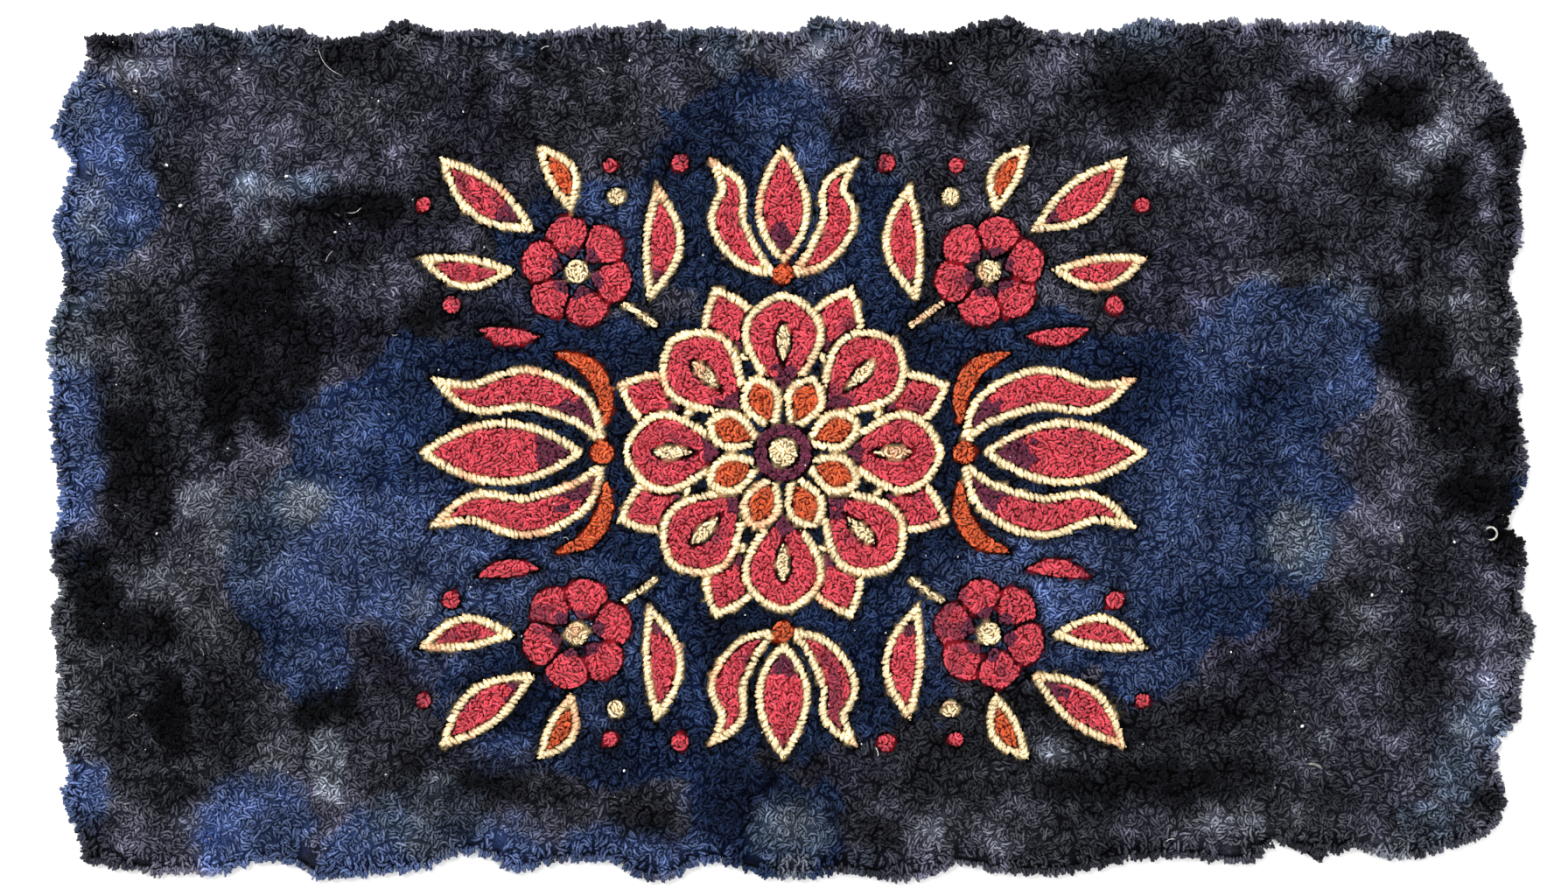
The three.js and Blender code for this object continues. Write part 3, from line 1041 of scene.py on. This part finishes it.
def walk(field, x, y, heading, bend, steps):
    """One end of a curl: it wanders, turns away from its neighbours, and stops where it is shut in."""
    points = []
    for change in rng.normal(0, BEND_CHANGE, steps):
        bend = max(-BEND_MOST, min(BEND_MOST, BEND_MEMORY * bend + change))
        for dodge in DODGES:
            toward = heading + bend + dodge
            there = x + CURL_STEP * math.cos(toward), y + CURL_STEP * math.sin(toward)
            if not field.taken[cell_at(field, *there)]:
                break
        else:
            break
        heading = toward
        x, y = there
        points.append(there)
    return points


def curl_lines(field):
    """Lines of way points that fill the whole field side by side."""
    lines = []
    free = np.argwhere(~field.taken)
    while len(free):
        for row, column in rng.permutation(free)[:SEEDS_AT_ONCE].tolist():
            if not field.taken[row, column]:
                x, y = field.low[0] + column * FIELD_CELL, field.low[1] + row * FIELD_CELL
                heading, bend = rng.uniform(0, 2 * math.pi), rng.normal(0, BEND_START)
                on, back = rng.integers(*CURL_STEPS, 2)
                line = walk(field, x, y, heading + math.pi, -bend, back)[::-1] + [(x, y)]
                line += walk(field, x, y, heading, bend, on)
                for place in line:
                    take(field, *place, field.stencil)
                lines.append(line)
        free = np.argwhere(~field.taken)
    return lines


def by_node_count(lines):
    """The lines with every second way point kept, grouped into arrays of lines with as many points."""
    groups = {}
    for line in lines:
        nodes = max(1, round((len(line) + 1) / 2))
        at = np.linspace(0, len(line) - 1, nodes) if nodes > 1 else [0]
        line = np.array(line)
        line[1:-1] = (line[:-2] + 2 * line[1:-1] + line[2:]) / 4
        steps = np.arange(len(line))
        kept = np.column_stack([np.interp(at, steps, line[:, 0]), np.interp(at, steps, line[:, 1])])
        groups.setdefault(nodes, []).append(kept)
    return [np.array(groups[nodes]) for nodes in sorted(groups)]


def clump_border(places):
    """How far each place is from the border between two clumps."""
    middles = scattered(places, CLUMP_SIZE, CLUMP_SEED) * CLUMP_SIZE
    gaps = np.linalg.norm(middles - places[:, None], axis=2)
    order = np.argsort(gaps, axis=1)[:, :2]
    near, next_near = np.take_along_axis(gaps, order, axis=1).T
    first, second = np.take_along_axis(middles, order[:, :, None], axis=1).transpose(1, 0, 2)
    apart = np.maximum(np.linalg.norm(second - first, axis=1), 0.1)
    return (next_near ** 2 - near ** 2) / (2 * apart)


def cracked(places):
    """Which places lie in a crack between two clumps. Only some of the clumps' borders are open."""
    return (clump_border(places) < CRACK_WIDTH / 2) & (noise(places, "crack") > CRACK_START)


def creased(places):
    """How near each place is to a crease, from 0 to 1. Creases follow the middle values of a noise."""
    level = np.abs(noise(places, "crease") - 0.5)
    return step(CREASE_WIDTH, 0, level) * step(*CREASE_START, noise(places, "creased patch"))


def pile_crest(places):
    """The height of the pile's crest at each place, away from the edge."""
    return PILE_HEIGHT + swing(places, "crest")


def pile_cut(places):
    """How far the pile is sunk at each place, in cracks and creases."""
    shoulder = step(SHOULDER_WIDTH, 0, clump_border(places))
    return np.maximum(SHOULDER_DEPTH * shoulder, CREASE_DEPTH * creased(places))


def with_ends(nodes):
    """Lines with a tip added at each end, a little beyond it."""
    if nodes.shape[1] > 1:
        first, last = unit(nodes[:, 0] - nodes[:, 1]), unit(nodes[:, -1] - nodes[:, -2])
    else:
        last = bearing(rng.uniform(0, 2 * math.pi, len(nodes)))
        first = -last
    tips = [nodes[:, 0] + TIP_REACH * first, nodes[:, -1] + TIP_REACH * last]
    return np.concatenate([tips[0][:, None], nodes, tips[1][:, None]], axis=1)


def laid_curls(flat, crest, level, colours):
    """Curls that wave a little under their level, one higher than another, and go down at their ends."""
    count, places = flat.shape[:2]
    size = CURL_RADIUS * rng.uniform(*CURL_SIZES, (count, 1))
    length = rng.uniform(*CURL_WAVE_LENGTH, (count, 1))
    along = 2 * CURL_STEP * np.arange(places)[None] + rng.uniform(0, CURL_WAVE_START, (count, 1))
    tall = level - size + rng.uniform(*CURL_HEIGHTS, (count, 1))
    tall = tall + CURL_WAVE * (np.sin(2 * math.pi * along / length) - 0.5)
    tall -= NUB_DROP if places == 3 else 0
    tall[:, [1, -2]] -= END_DROP
    tall[:, [0, -1]] -= TIP_DROP
    radii = np.repeat(size, places, axis=1)
    radii[:, [0, -1]] = 0
    across = raised(left_of(flat[:, 2:] - flat[:, :-2]))
    return raised(flat, tall), radii, across, colours, crest


def ground_strands(lines, outline, edge_tree, shape_tree):
    """What the ground's strands are made from, for each group of lines with as many nodes."""
    made = []
    for nodes in by_node_count(lines):
        flat = with_ends(nodes)
        grid = flat.shape[:2]
        every = flat.reshape(-1, 2)
        depth, which = nearest(edge_tree, every)
        gap, _ = nearest(shape_tree, every)
        edge = np.clip(1 - depth / EDGE_ROUNDING, 0, 1)
        crest = pile_crest(every) - EDGE_DROP * edge ** 2
        # The cut sinks the curls but not their crest, so curls in cracks, creases and clump shoulders take
        # painted shade
        cut = pile_cut(every)
        lean = outward_of(outline)[which] * (EDGE_LEAN * edge)[:, None]
        # Painted shadow: the ground's colour darkens towards black near the design's outlines
        shadow = step(SHADOW_REACH, GROUND_GAP, gap) * (SHADOW_DEPTH + swing(every, "shadow"))
        colours = mix(ground_colour(every), LIGHT["shadow_black"], np.clip(shadow, 0, 1)).reshape(*grid, 3)
        leant = flat + lean.reshape(*grid, 2)
        made.append(laid_curls(leant, crest.reshape(grid), (crest - cut).reshape(grid), colours))
    return made


# The rows of edge tufts: where their roots and tips are, in and out and up, and how thick they are
Row = namedtuple("Row", "root_inset root_z reach tip_z radius")
RIM_ROWS = [
    Row(6.5, 5.5, -0.4, 8.6, 1.2),
    Row(6.0, 4.2, 0.4, 6.2, 1.2),
    Row(5.5, 2.4, 0.0, 3.6, 1.1),
]

# An edge tuft at each step from root to tip: its way out, its rise, its thickness and its painted shade,
# darker towards the root
TUFT_STEPS = np.array([0, 0.42, 0.92, 1])
TUFT_RISE = np.array([0, 0.75, 1.0, 0.86])
TUFT_TAPER = np.array([0, 1, 0.75, 0])
TUFT_SHADE = np.array([0.5, 0.9, 1.0, 1.0])

# How unlike the edge tufts are, and how far in from the edge their colour is taken
TUFT_PLACE_SPREAD = 0.4
TUFT_REACH_SPREAD = 0.5
TUFT_SPLAY_SPREAD = 0.9
TUFT_HEIGHT_SPREAD = 0.5
TUFT_WIDTHS = (0.85, 1.2)
TUFT_COLOUR_INSET = 2


def edge_marks(at, size, seed, reach):
    """Chance places along the edge, one in each stretch of a size, and the stretches' numbers: for each
    value, those of its own stretch and of so many to either side."""
    stretches = np.stack([np.floor(at / size).astype(np.int64) + k for k in range(-reach, reach + 1)])
    return (stretches + lattice(stretches, 0 * stretches, seed)) * size, stretches


def lobed(at):
    """Twice the way along the edge to the nearest cleft between two lobes, and a chance value for it."""
    clefts, stretches = edge_marks(at, LOBE_SIZE, LOBE_SEED, 2)
    gaps = np.abs(clefts - at)
    order = np.argsort(gaps, axis=0)
    gaps = np.take_along_axis(gaps, order, axis=0)
    number = 2 * stretches[2] + order[0] + order[1]
    return gaps[1] - gaps[0], lattice(number, 0 * number, LOBE_SEED + 1)


def cleft(places, outline):
    """Which places lie in a cleft between two lobes of the edge."""
    result = np.zeros(len(places), bool)
    near = outline_reach(outline, places) - np.linalg.norm(places, axis=1) < 2 * CLEFT_LENGTH[1]
    depth, at = nearest(tree_of(outline), places[near])
    gap, chance = lobed(at.astype(float))
    long = CLEFT_LENGTH[0] + (CLEFT_LENGTH[1] - CLEFT_LENGTH[0]) * chance
    result[near] = (depth < long) & (gap < CLEFT_WIDTH)
    return result


def toothed(at):
    """The way along the edge to the middle of the nearest clump of tufts, and how long its tufts are."""
    clumps, stretches = edge_marks(at, TOOTH_SIZE, TOOTH_SEED, 1)
    nearest_one = np.abs(clumps - at).argmin(axis=0), np.arange(len(at))
    way = clumps[nearest_one] - at
    number = stretches[nearest_one]
    long = TOOTH_SHARES[0] + TOOTH_SHARES[1] * lattice(number, 0 * number, TOOTH_SEED + 1)
    return way, long * np.clip(1 - np.abs(way) / TOOTH_SIZE, 0, 1)


def rim_strands(outline):
    """Rows of tufts that stand out all round the edge, gathered into pointed clumps."""
    made = []
    for number, row in enumerate(RIM_ROWS):
        at = np.arange(number * RIM_PITCH / len(RIM_ROWS), len(outline) - 1, RIM_PITCH)
        at = at + rng.normal(0, TUFT_PLACE_SPREAD, len(at))
        count = len(at)
        index = np.clip(at.astype(int), 0, len(outline) - 1)
        base, outward = outline[index], outward_of(outline)[index]
        along = left_of(outward)
        way, tooth = toothed(at)
        gap, _ = lobed(at)
        fray = TOOTH_LENGTH * (tooth - TOOTH_MIDDLE) - LOBE_NOTCH * step(NOTCH_WIDTH, 0, gap)
        fray = fray + rng.normal(0, TUFT_REACH_SPREAD, count)
        splay = TOOTH_PULL * way + rng.normal(0, TUFT_SPLAY_SPREAD, count)
        tip = base + outward * (row.reach + fray)[:, None] + along * splay[:, None]
        root = base - outward * row.root_inset
        flat = root[:, None] + (tip - root)[:, None] * TUFT_STEPS[:, None]
        tall = row.root_z + (row.tip_z - row.root_z) * TUFT_RISE
        tall = np.maximum(tall + rng.normal(0, TUFT_HEIGHT_SPREAD, (count, 1)), row.radius)
        radii = row.radius * rng.uniform(*TUFT_WIDTHS, count)[:, None] * TUFT_TAPER
        # Painted shade: the tufts' colour darkens towards their roots
        colours = ground_colour(base - outward * TUFT_COLOUR_INSET)[:, None] * TUFT_SHADE[:, None]
        made.append(strands(raised(flat, tall), radii, raised(along), colours))
    return together(made)


# Materials

FIBRE_SCALE = 1500
TUFT_SCALE = 620

# The least and most that each of these multiplies the yarn's colour by: random tone from curl to curl, in
# tufts and in fibres, whose bright ends on a few curls and on fibres are painted highlights
CHANCE_RANGE = (0.85, 1.4)
FIBRE_RANGE = (-0.7, 2.7)
TUFT_RANGE = (-0.3, 2.3)
# The power that keeps most curls near the low end and brightens a few, as painted highlights
HIGHLIGHT_POWER = 3.0

BUMP_STRENGTH = 0.7
BUMP_DEPTH = 0.0006
WEAVE_SCALE = 180
WEAVE_WANDER = 1.2
WEAVE_DEPTH = 0.0004
CLOTH_DARK = (0.004, 0.004, 0.005, 1)
CLOTH_LIGHT = (0.012, 0.012, 0.015, 1)


def new_material(name):
    material = bpy.data.materials.new(name)
    material.use_nodes = True
    return material, material.node_tree.nodes["Principled BSDF"]


def feed(material, node, inputs):
    """Gives each named or numbered input of a node its value, or links the socket given for it."""
    for name, value in inputs.items():
        if isinstance(value, bpy.types.NodeSocket):
            material.node_tree.links.new(value, node.inputs[name])
        else:
            node.inputs[name].default_value = value


def add(material, kind, inputs, **properties):
    """A new node of a material, of which the outputs are given back."""
    node = material.node_tree.nodes.new("ShaderNode" + kind)
    for name, value in properties.items():
        setattr(node, name, value)
    feed(material, node, inputs)
    return node.outputs


def ramp(material, value, ends, results, how="LINEAR"):
    """Maps the values between two ends onto two results."""
    inputs = {"Value": value, "From Min": ends[0], "From Max": ends[1], "To Min": results[0],
              "To Max": results[1]}
    return add(material, "MapRange", inputs, interpolation_type=how)["Result"]


def number(material, operation, a, b):
    return add(material, "Math", {0: a, 1: b}, operation=operation)["Value"]


def wool(name, sheen, sheen_tint):
    """Curly wool: dyed yarn with painted shade, darker and deeper in colour towards its roots and the sides
    of each curl; each curl a little different in tone, with painted highlights on a few curls and on fibres.
    """
    material, shader = new_material(name)
    dye_and_shade = add(material, "Attribute", {}, attribute_name="dye_and_shade")["Color"]
    curl = add(material, "Attribute", {}, attribute_name="curl")["Vector"]
    split = add(material, "SeparateXYZ", {0: curl})
    place = add(material, "TexCoord", {})["Object"]
    fibres = add(material, "TexNoise", {"Scale": FIBRE_SCALE, "Detail": 3, "Vector": place})["Fac"]
    tufts = add(material, "TexNoise", {"Scale": TUFT_SCALE, "Detail": 2, "Vector": place})["Fac"]
    # Painted shade: from the crest down to the roots and towards each curl's sides, the colour runs to a
    # darker, deeper copy of the yarn's colour
    deep = add(material, "Gamma", {"Color": dye_and_shade, "Gamma": SHADE_GAMMA})["Color"]
    root = add(material, "VectorMath", {0: deep, "Scale": SHADE_SCALE}, operation="SCALE")["Vector"]
    rise = ramp(material, split["Y"], (ROOT_SHADE, CREST_SHADE), (0, 1), "SMOOTHSTEP")
    side = ramp(material, split["Z"], (0, SIDE_SHADE), (0, 1), "SMOOTHSTEP")
    depth = number(material, "MULTIPLY", rise, side)
    colour = add(material, "Mix", {"Factor": depth, "A": root, "B": dye_and_shade}, data_type="RGBA")["Result"]
    # Random tone from curl to curl, in tufts and in fibres, with painted highlights on a few curls and on
    # fibres
    chance = ramp(material, number(material, "POWER", split["X"], HIGHLIGHT_POWER), (0, 1), CHANCE_RANGE)
    fine = ramp(material, fibres, (0, 1), FIBRE_RANGE)
    coarse = ramp(material, tufts, (0, 1), TUFT_RANGE)
    shade = number(material, "MULTIPLY", number(material, "MULTIPLY", chance, fine), coarse)
    base = add(material, "VectorMath", {0: colour, "Scale": shade}, operation="SCALE")["Vector"]
    bump = {"Strength": BUMP_STRENGTH, "Distance": BUMP_DEPTH, "Height": fibres}
    feed(material, shader, {
        "Base Color": base,
        "Normal": add(material, "Bump", bump)["Normal"],
        "Roughness": 0.92,
        "Specular IOR Level": 0.03,
        "Sheen Weight": sheen,
        "Sheen Roughness": 0.45,
        "Sheen Tint": (*sheen_tint, 1),
    })
    return material


def foundation_cloth():
    """Dark plain-woven cloth."""
    material, shader = new_material("foundation_cloth")
    place = add(material, "TexCoord", {})["Object"]
    weave = {"Scale": WEAVE_SCALE, "Distortion": WEAVE_WANDER, "Vector": place}
    weave = add(material, "TexWave", weave)["Fac"]
    colour = {"Factor": weave, "A": CLOTH_DARK, "B": CLOTH_LIGHT}
    feed(material, shader, {
        "Base Color": add(material, "Mix", colour, data_type="RGBA")["Result"],
        "Normal": add(material, "Bump", {"Distance": WEAVE_DEPTH, "Height": weave})["Normal"],
        "Roughness": 0.95,
    })
    return material


# The pieces

def foundation(outline):
    """The cloth that the pile is hooked through: a closed flat sheet a little inside the pile."""
    line = (outline - outward_of(outline) * CLOTH_INSET)[::CLOTH_PITCH]
    count = len(line)
    points = [(0, 0, 0)]
    for share, height in CLOTH_RINGS:
        points += [(x * share, y * share, height) for x, y in line]
    points.append((0, 0, CLOTH_THICKNESS))
    faces = []
    for k in range(count):
        after = (k + 1) % count
        faces.append((0, 1 + after, 1 + k))
        for ring in range(len(CLOTH_RINGS) - 1):
            a, b = 1 + ring * count + k, 1 + ring * count + after
            faces.append((a, b, b + count))
            faces.append((a, b + count, a + count))
        top = 1 + (len(CLOTH_RINGS) - 1) * count
        faces.append((len(points) - 1, top + k, top + after))
    cloth = make_mesh("foundation", np.array(points, float), np.array(faces))
    cloth.data.polygons.foreach_set("use_smooth", np.zeros(len(faces), bool))
    cloth.data.materials.append(foundation_cloth())
    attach(cloth, "root")
    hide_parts("rug")
    return cloth, abs(signed_area(line)) * MM * MM


def bed_grid(outline):
    """An even grid over the rug, its outer lines along the outline. Also gives each point's depth inside."""
    along = np.linspace(-1, 1, BED_ALONG + 1)
    across = np.linspace(-1, 1, BED_ACROSS + 1)
    u, v = (a.ravel() for a in np.meshgrid(along, across))
    share = np.maximum(np.maximum(np.abs(u), np.abs(v)), 1e-6)
    half = (outline.max(axis=0) - outline.min(axis=0)) / 2
    border = np.column_stack([u, v]) / share[:, None] * half
    reach = outline_reach(outline, border)
    points = unit(border) * (share * (reach - BED_INSET))[:, None]
    depth = (1 - share) * np.where(np.abs(u) > np.abs(v), half[0], half[1])
    return points, depth


def bed_faces():
    """Two triangles for each cell of the grid, and a fan below that closes the bed."""
    wide = BED_ALONG + 1
    faces = []
    for row in range(BED_ACROSS):
        for column in range(BED_ALONG):
            a = row * wide + column
            faces += [(a, a + 1, a + wide + 1), (a, a + wide + 1, a + wide)]
    border = list(range(wide)) + [row * wide + BED_ALONG for row in range(1, BED_ACROSS + 1)]
    border += [BED_ACROSS * wide + column for column in range(BED_ALONG - 1, -1, -1)]
    border += [row * wide for row in range(BED_ACROSS - 1, 0, -1)]
    below = wide * (BED_ACROSS + 1)
    for a, b in zip(border, border[1:] + border[:1]):
        faces.append((a, below, b))
    return np.array(faces)


def pile_bed(outline, plan, shape_tree, material):
    """The crowded lower part of the pile, as one lumpy closed piece, coloured with painted shade."""
    places, depth = bed_grid(outline)
    lump = swing(places, "bed lump")
    level = pile_crest(places) - CREASE_DEPTH * creased(places) - BED_DEPTH + BED_LUMP * lump
    tall = BED_FLOOR + (level - BED_FLOOR) * step(*BED_RISE, depth)
    tall[depth < 1e-3] = BED_FLOOR
    gap, _ = nearest(shape_tree, places)
    # Painted shadow round the design, as on the ground's curls
    colours = mix(ground_colour(places), LIGHT["shadow_black"], step(SHADOW_REACH, GROUND_GAP, gap))
    kind = plan_at(plan, outline, places)
    for yarn in YARN_NAMES:
        colours[kind == code(yarn)] = LIGHT[yarn]
    # Painted shade in the bare gaps between the design's shapes and their rims
    colours[kind == NOTHING] = LIGHT["shadow_black"]
    # Painted shade over the whole bed
    colours *= BED_SHADE
    points = np.vstack([raised(places, tall), (0, 0, BED_FLOOR - BED_HOLLOW)])
    colours = np.vstack([colours, colours[:1]])
    # Crest and side values of 0 give the whole bed the painted shade of the curls' roots
    curls = np.zeros((len(points), 3))
    curls[:, 0] = 0.5 + BED_CHANCE * np.append(lump, 0)
    return pile_piece("pile_bed", Strands(points, bed_faces(), colours, curls), material)


def ground_pieces(ground, rim, material):
    """The ground's pile in strips, each the full length of the rug, and the tufts at its edge."""
    middles = np.concatenate([paths[:, :, 1].mean(axis=1) for paths, *rest in ground])
    sizes = np.concatenate([np.full(len(paths), paths.shape[1]) for paths, *rest in ground])
    order = np.argsort(middles)
    share = np.cumsum(sizes[order]) / sizes.sum()
    borders = [-1e9] + [middles[order][np.searchsorted(share, (k + 1) / GROUND_STRIPS) - 1]
                        for k in range(GROUND_STRIPS)]
    pieces = []
    for index in range(GROUND_STRIPS):
        parts = []
        for group in ground:
            middle = group[0][:, :, 1].mean(axis=1)
            mine = (middle > borders[index]) & (middle <= borders[index + 1])
            parts.append(strands(*[values[mine] for values in group]))
        pieces.append(pile_piece(f"ground_pile_{index + 1}", together(parts), material))
    pieces.append(pile_piece("edge_tufts", rim, material))
    return pieces


Yarn = namedtuple("Yarn", "name sheen_tint")
DESIGN_YARNS = [
    Yarn("red", (1, 0.6, 0.65)),
    Yarn("gold", (1, 0.95, 0.8)),
    Yarn("orange", (1, 0.75, 0.55)),
    Yarn("plum", (0.9, 0.55, 0.7)),
]


def design_pieces(outline, plan, loops):
    pieces = []
    for yarn in DESIGN_YARNS:
        material = wool(f"{yarn.name}_wool", 0.25, yarn.sheen_tint)
        made = fill_strands(curl_lines(yarn_field(plan, outline, loops, yarn.name)), yarn.name)
        if any(loop.yarn == yarn.name for loop in loops):
            made.append(loop_strands(loops, yarn.name))
        pieces.append(pile_piece(f"{yarn.name}_pile", together(made), material))
    return pieces


# Lint on the pile

Hair = namedtuple("Hair", "x y dx dy bow width tone")
HAIRS = [
    Hair(-340, 291, 20, -24, -5.0, 0.45, 0.50), Hair(-319, 170, 11, 4, -2.0, 0.5, 0.60),
    Hair(-180, 286, 7, 3, 1.5, 0.5, 0.45), Hair(-140, 274, 6, -4, 1.0, 0.5, 0.45),
    Hair(139, 206, 10, -4, 1.5, 0.5, 0.45), Hair(-334, 134, 6, 9, 1.2, 0.5, 0.35),
    Hair(60, -213, 2, -7, 0.8, 0.7, 0.60), Hair(268, -281, 7, 2, 1.0, 0.6, 0.50),
    Hair(501, 55, 3, 4, 1.2, 1.0, 0.45), Hair(436, -60, 1, -7, 0.8, 2.2, 0.13),
    Hair(369, -225, 12, -4, 1.5, 2.0, 0.22), Hair(-498, 262, 7, -3, 1.0, 0.6, 0.30),
]
Speck = namedtuple("Speck", "x y size")
SPECKS = [
    Speck(-448, 204, 1.2), Speck(-362, 196, 1.2), Speck(-438, 175, 1.3), Speck(-396, 273, 0.9),
    Speck(-327, 156, 0.9), Speck(-470, 257, 1.0), Speck(-296, 250, 0.8), Speck(-65, 287, 1.0),
    Speck(-116, 279, 0.8), Speck(114, 277, 0.9), Speck(416, -104, 1.0), Speck(475, -66, 0.9),
    Speck(366, -198, 1.2), Speck(315, -145, 0.7), Speck(-455, -60, 0.8), Speck(-120, -230, 0.9),
]
LINT_HEIGHT = 12.9
LINT_SPREAD = 0.94
SPECK_COUNT = 170
SPECK_SIZES = (0.3, 0.7)
SPECK_TONES = (0.2, 0.8)
SPECK_TONE = 0.9
SPECK_STEPS = np.array([-1.3, -0.6, 0.6, 1.3])
SPECK_TAPER = np.array([0, 0.8, 0.8, 0])
HAIR_COUNT = 30
HAIR_POINTS = 7
HAIR_WAVE = 0.4
HAIR_WAVES = 9
HAIR_WAY_SPREAD = 4
HAIR_BOW_SPREAD = 1.2
HAIR_WIDTHS = (0.3, 0.5)
HAIR_TONES = (0.15, 0.4)
LOOSE_TURN = (-2.0, 2.6)
LOOSE_POINTS = 11
LOOSE_RISE = 0.12


def even_radii(width, count):
    """The radii of one strand that is as thick all along and closes to a point at each end."""
    radii = np.full((1, count), width / 2)
    radii[:, [0, -1]] = 0
    return radii


def hair_strand(hair):
    """One hair, bowed to a side, as a strand of its own."""
    t = np.linspace(0, 1, HAIR_POINTS)
    way = np.array([hair.dx, hair.dy])
    side = left_of(way) / math.hypot(*way)
    flat = (hair.x, hair.y) + t[:, None] * way + (hair.bow * np.sin(math.pi * t))[:, None] * side
    tall = LINT_HEIGHT + HAIR_WAVE * np.sin(HAIR_WAVES * t)
    colour = np.full((1, 3), hair.tone) * (1.0, 0.99, 0.93)
    radii = even_radii(hair.width, HAIR_POINTS)
    return strands(raised(flat, tall)[None], radii, raised(side)[None], colour, sides=4)


def loose_curl(x, y, radius, width, tone):
    """A loose end of pale yarn that has curled into an open ring."""
    turn = np.linspace(*LOOSE_TURN, LOOSE_POINTS)
    path = raised((x, y) + radius * bearing(turn), LINT_HEIGHT + LOOSE_RISE * turn)
    across = raised(left_of(path[2:] - path[:-2]))[None]
    colour = np.full((1, 3), tone) * (1.0, 0.99, 0.88)
    return strands(path[None], even_radii(width, LOOSE_POINTS), across, colour, sides=4)


def speck_strands(places, sizes, tones):
    """Small pale knots of fibre."""
    ahead = bearing(rng.uniform(0, math.pi, len(places)))
    flat = places[:, None] + SPECK_STEPS[:, None] * sizes[:, None, None] * ahead[:, None]
    radii = sizes[:, None] * SPECK_TAPER
    colours = tones[:, None] * (1.0, 1.0, 0.96)
    return strands(raised(flat, LINT_HEIGHT), radii, raised(left_of(ahead)), colours, sides=4)


def chance_hair(half):
    """A faint hair anywhere on the rug."""
    place, way = rng.uniform(-half, half), rng.normal(0, HAIR_WAY_SPREAD, 2)
    return Hair(*place, *way, rng.normal(0, HAIR_BOW_SPREAD), rng.uniform(*HAIR_WIDTHS),
                rng.uniform(*HAIR_TONES))


def lint(outline):
    """Pale hairs and specks of fibre that have settled on the pile."""
    half = outline.max(axis=0) * LINT_SPREAD
    made = [loose_curl(501, -60, 4.6, 1.5, 0.55)]
    hairs = [chance_hair(half) for _ in range(HAIR_COUNT)]
    made += [hair_strand(hair) for hair in HAIRS + hairs]
    places = np.array([(speck.x, speck.y) for speck in SPECKS])
    sizes = np.array([speck.size for speck in SPECKS])
    made.append(speck_strands(places, sizes, np.full(len(SPECKS), SPECK_TONE)))
    places = rng.uniform(-half, half, (SPECK_COUNT, 2))
    sizes = rng.uniform(*SPECK_SIZES, SPECK_COUNT)
    made.append(speck_strands(places, sizes, rng.uniform(*SPECK_TONES, SPECK_COUNT)))
    return pile_piece("lint", together(made), wool("lint_fibre", 0.1, (1, 1, 1)))


# Camera, floor and light

def camera():
    data = bpy.data.cameras.new("camera")
    data.sensor_width = SENSOR
    data.lens = SENSOR * CAMERA_HEIGHT / PICTURE_WIDTH
    data.clip_end = 100
    thing = bpy.data.objects.new("camera", data)
    thing.location = Vector((CAMERA_X, CAMERA_Y, CAMERA_HEIGHT)) * MM
    bpy.context.scene.collection.objects.link(thing)
    bpy.context.scene.camera = thing


def floor():
    half = FLOOR_SIZE / 2
    corners = np.array([(-half, -half, 0), (half, -half, 0), (half, half, 0), (-half, half, 0)], float)
    thing = make_mesh("floor", corners, np.array([(0, 1, 2), (0, 2, 3)]))
    material, shader = new_material("pale_floor")
    feed(material, shader, {"Base Color": FLOOR_COLOUR, "Roughness": 0.9, "Specular IOR Level": 0.1})
    thing.data.materials.append(material)


# The soft lights, in metres and watts
Lamp = namedtuple("Lamp", "name place size power")
LAMPS = [
    Lamp("key_light", (-1.4, 1.7, 2.9), 1.8, 130),
    Lamp("fill_light", (2.0, -1.4, 2.9), 2.4, 50),
]


def lights():
    for lamp in LAMPS:
        data = bpy.data.lights.new(lamp.name, "AREA")
        data.size = lamp.size
        data.energy = lamp.power
        thing = bpy.data.objects.new(lamp.name, data)
        thing.location = lamp.place
        thing.rotation_euler = (-Vector(lamp.place)).to_track_quat("-Z", "Y").to_euler()
        bpy.context.scene.collection.objects.link(thing)
    world = bpy.data.worlds.new("studio")
    world.use_nodes = True
    world.node_tree.nodes["Background"].inputs["Color"].default_value = (1, 1, 1, 1)
    world.node_tree.nodes["Background"].inputs["Strength"].default_value = SKY_STRENGTH
    bpy.context.scene.world = world
    bpy.context.scene.view_settings.view_transform = "Standard"


def main():
    camera()
    floor()
    lights()
    outline = outline_from_cad()
    shapes = design_shapes()
    plan = design_plan(shapes, outline)
    shape_tree = tree_of(np.vstack([shape.outline for shape in shapes]))
    loops = design_loops(shapes)
    lines = curl_lines(ground_field(plan, outline))
    ground = ground_strands(lines, outline, tree_of(outline), shape_tree)
    cloth, area = foundation(outline)
    ground_wool = wool("ground_wool", 0.03, (0.75, 0.8, 1.0))
    pile = [pile_bed(outline, plan, shape_tree, ground_wool)]
    pile += ground_pieces(ground, rim_strands(outline), ground_wool) + design_pieces(outline, plan, loops)
    pile.append(lint(outline))


main()
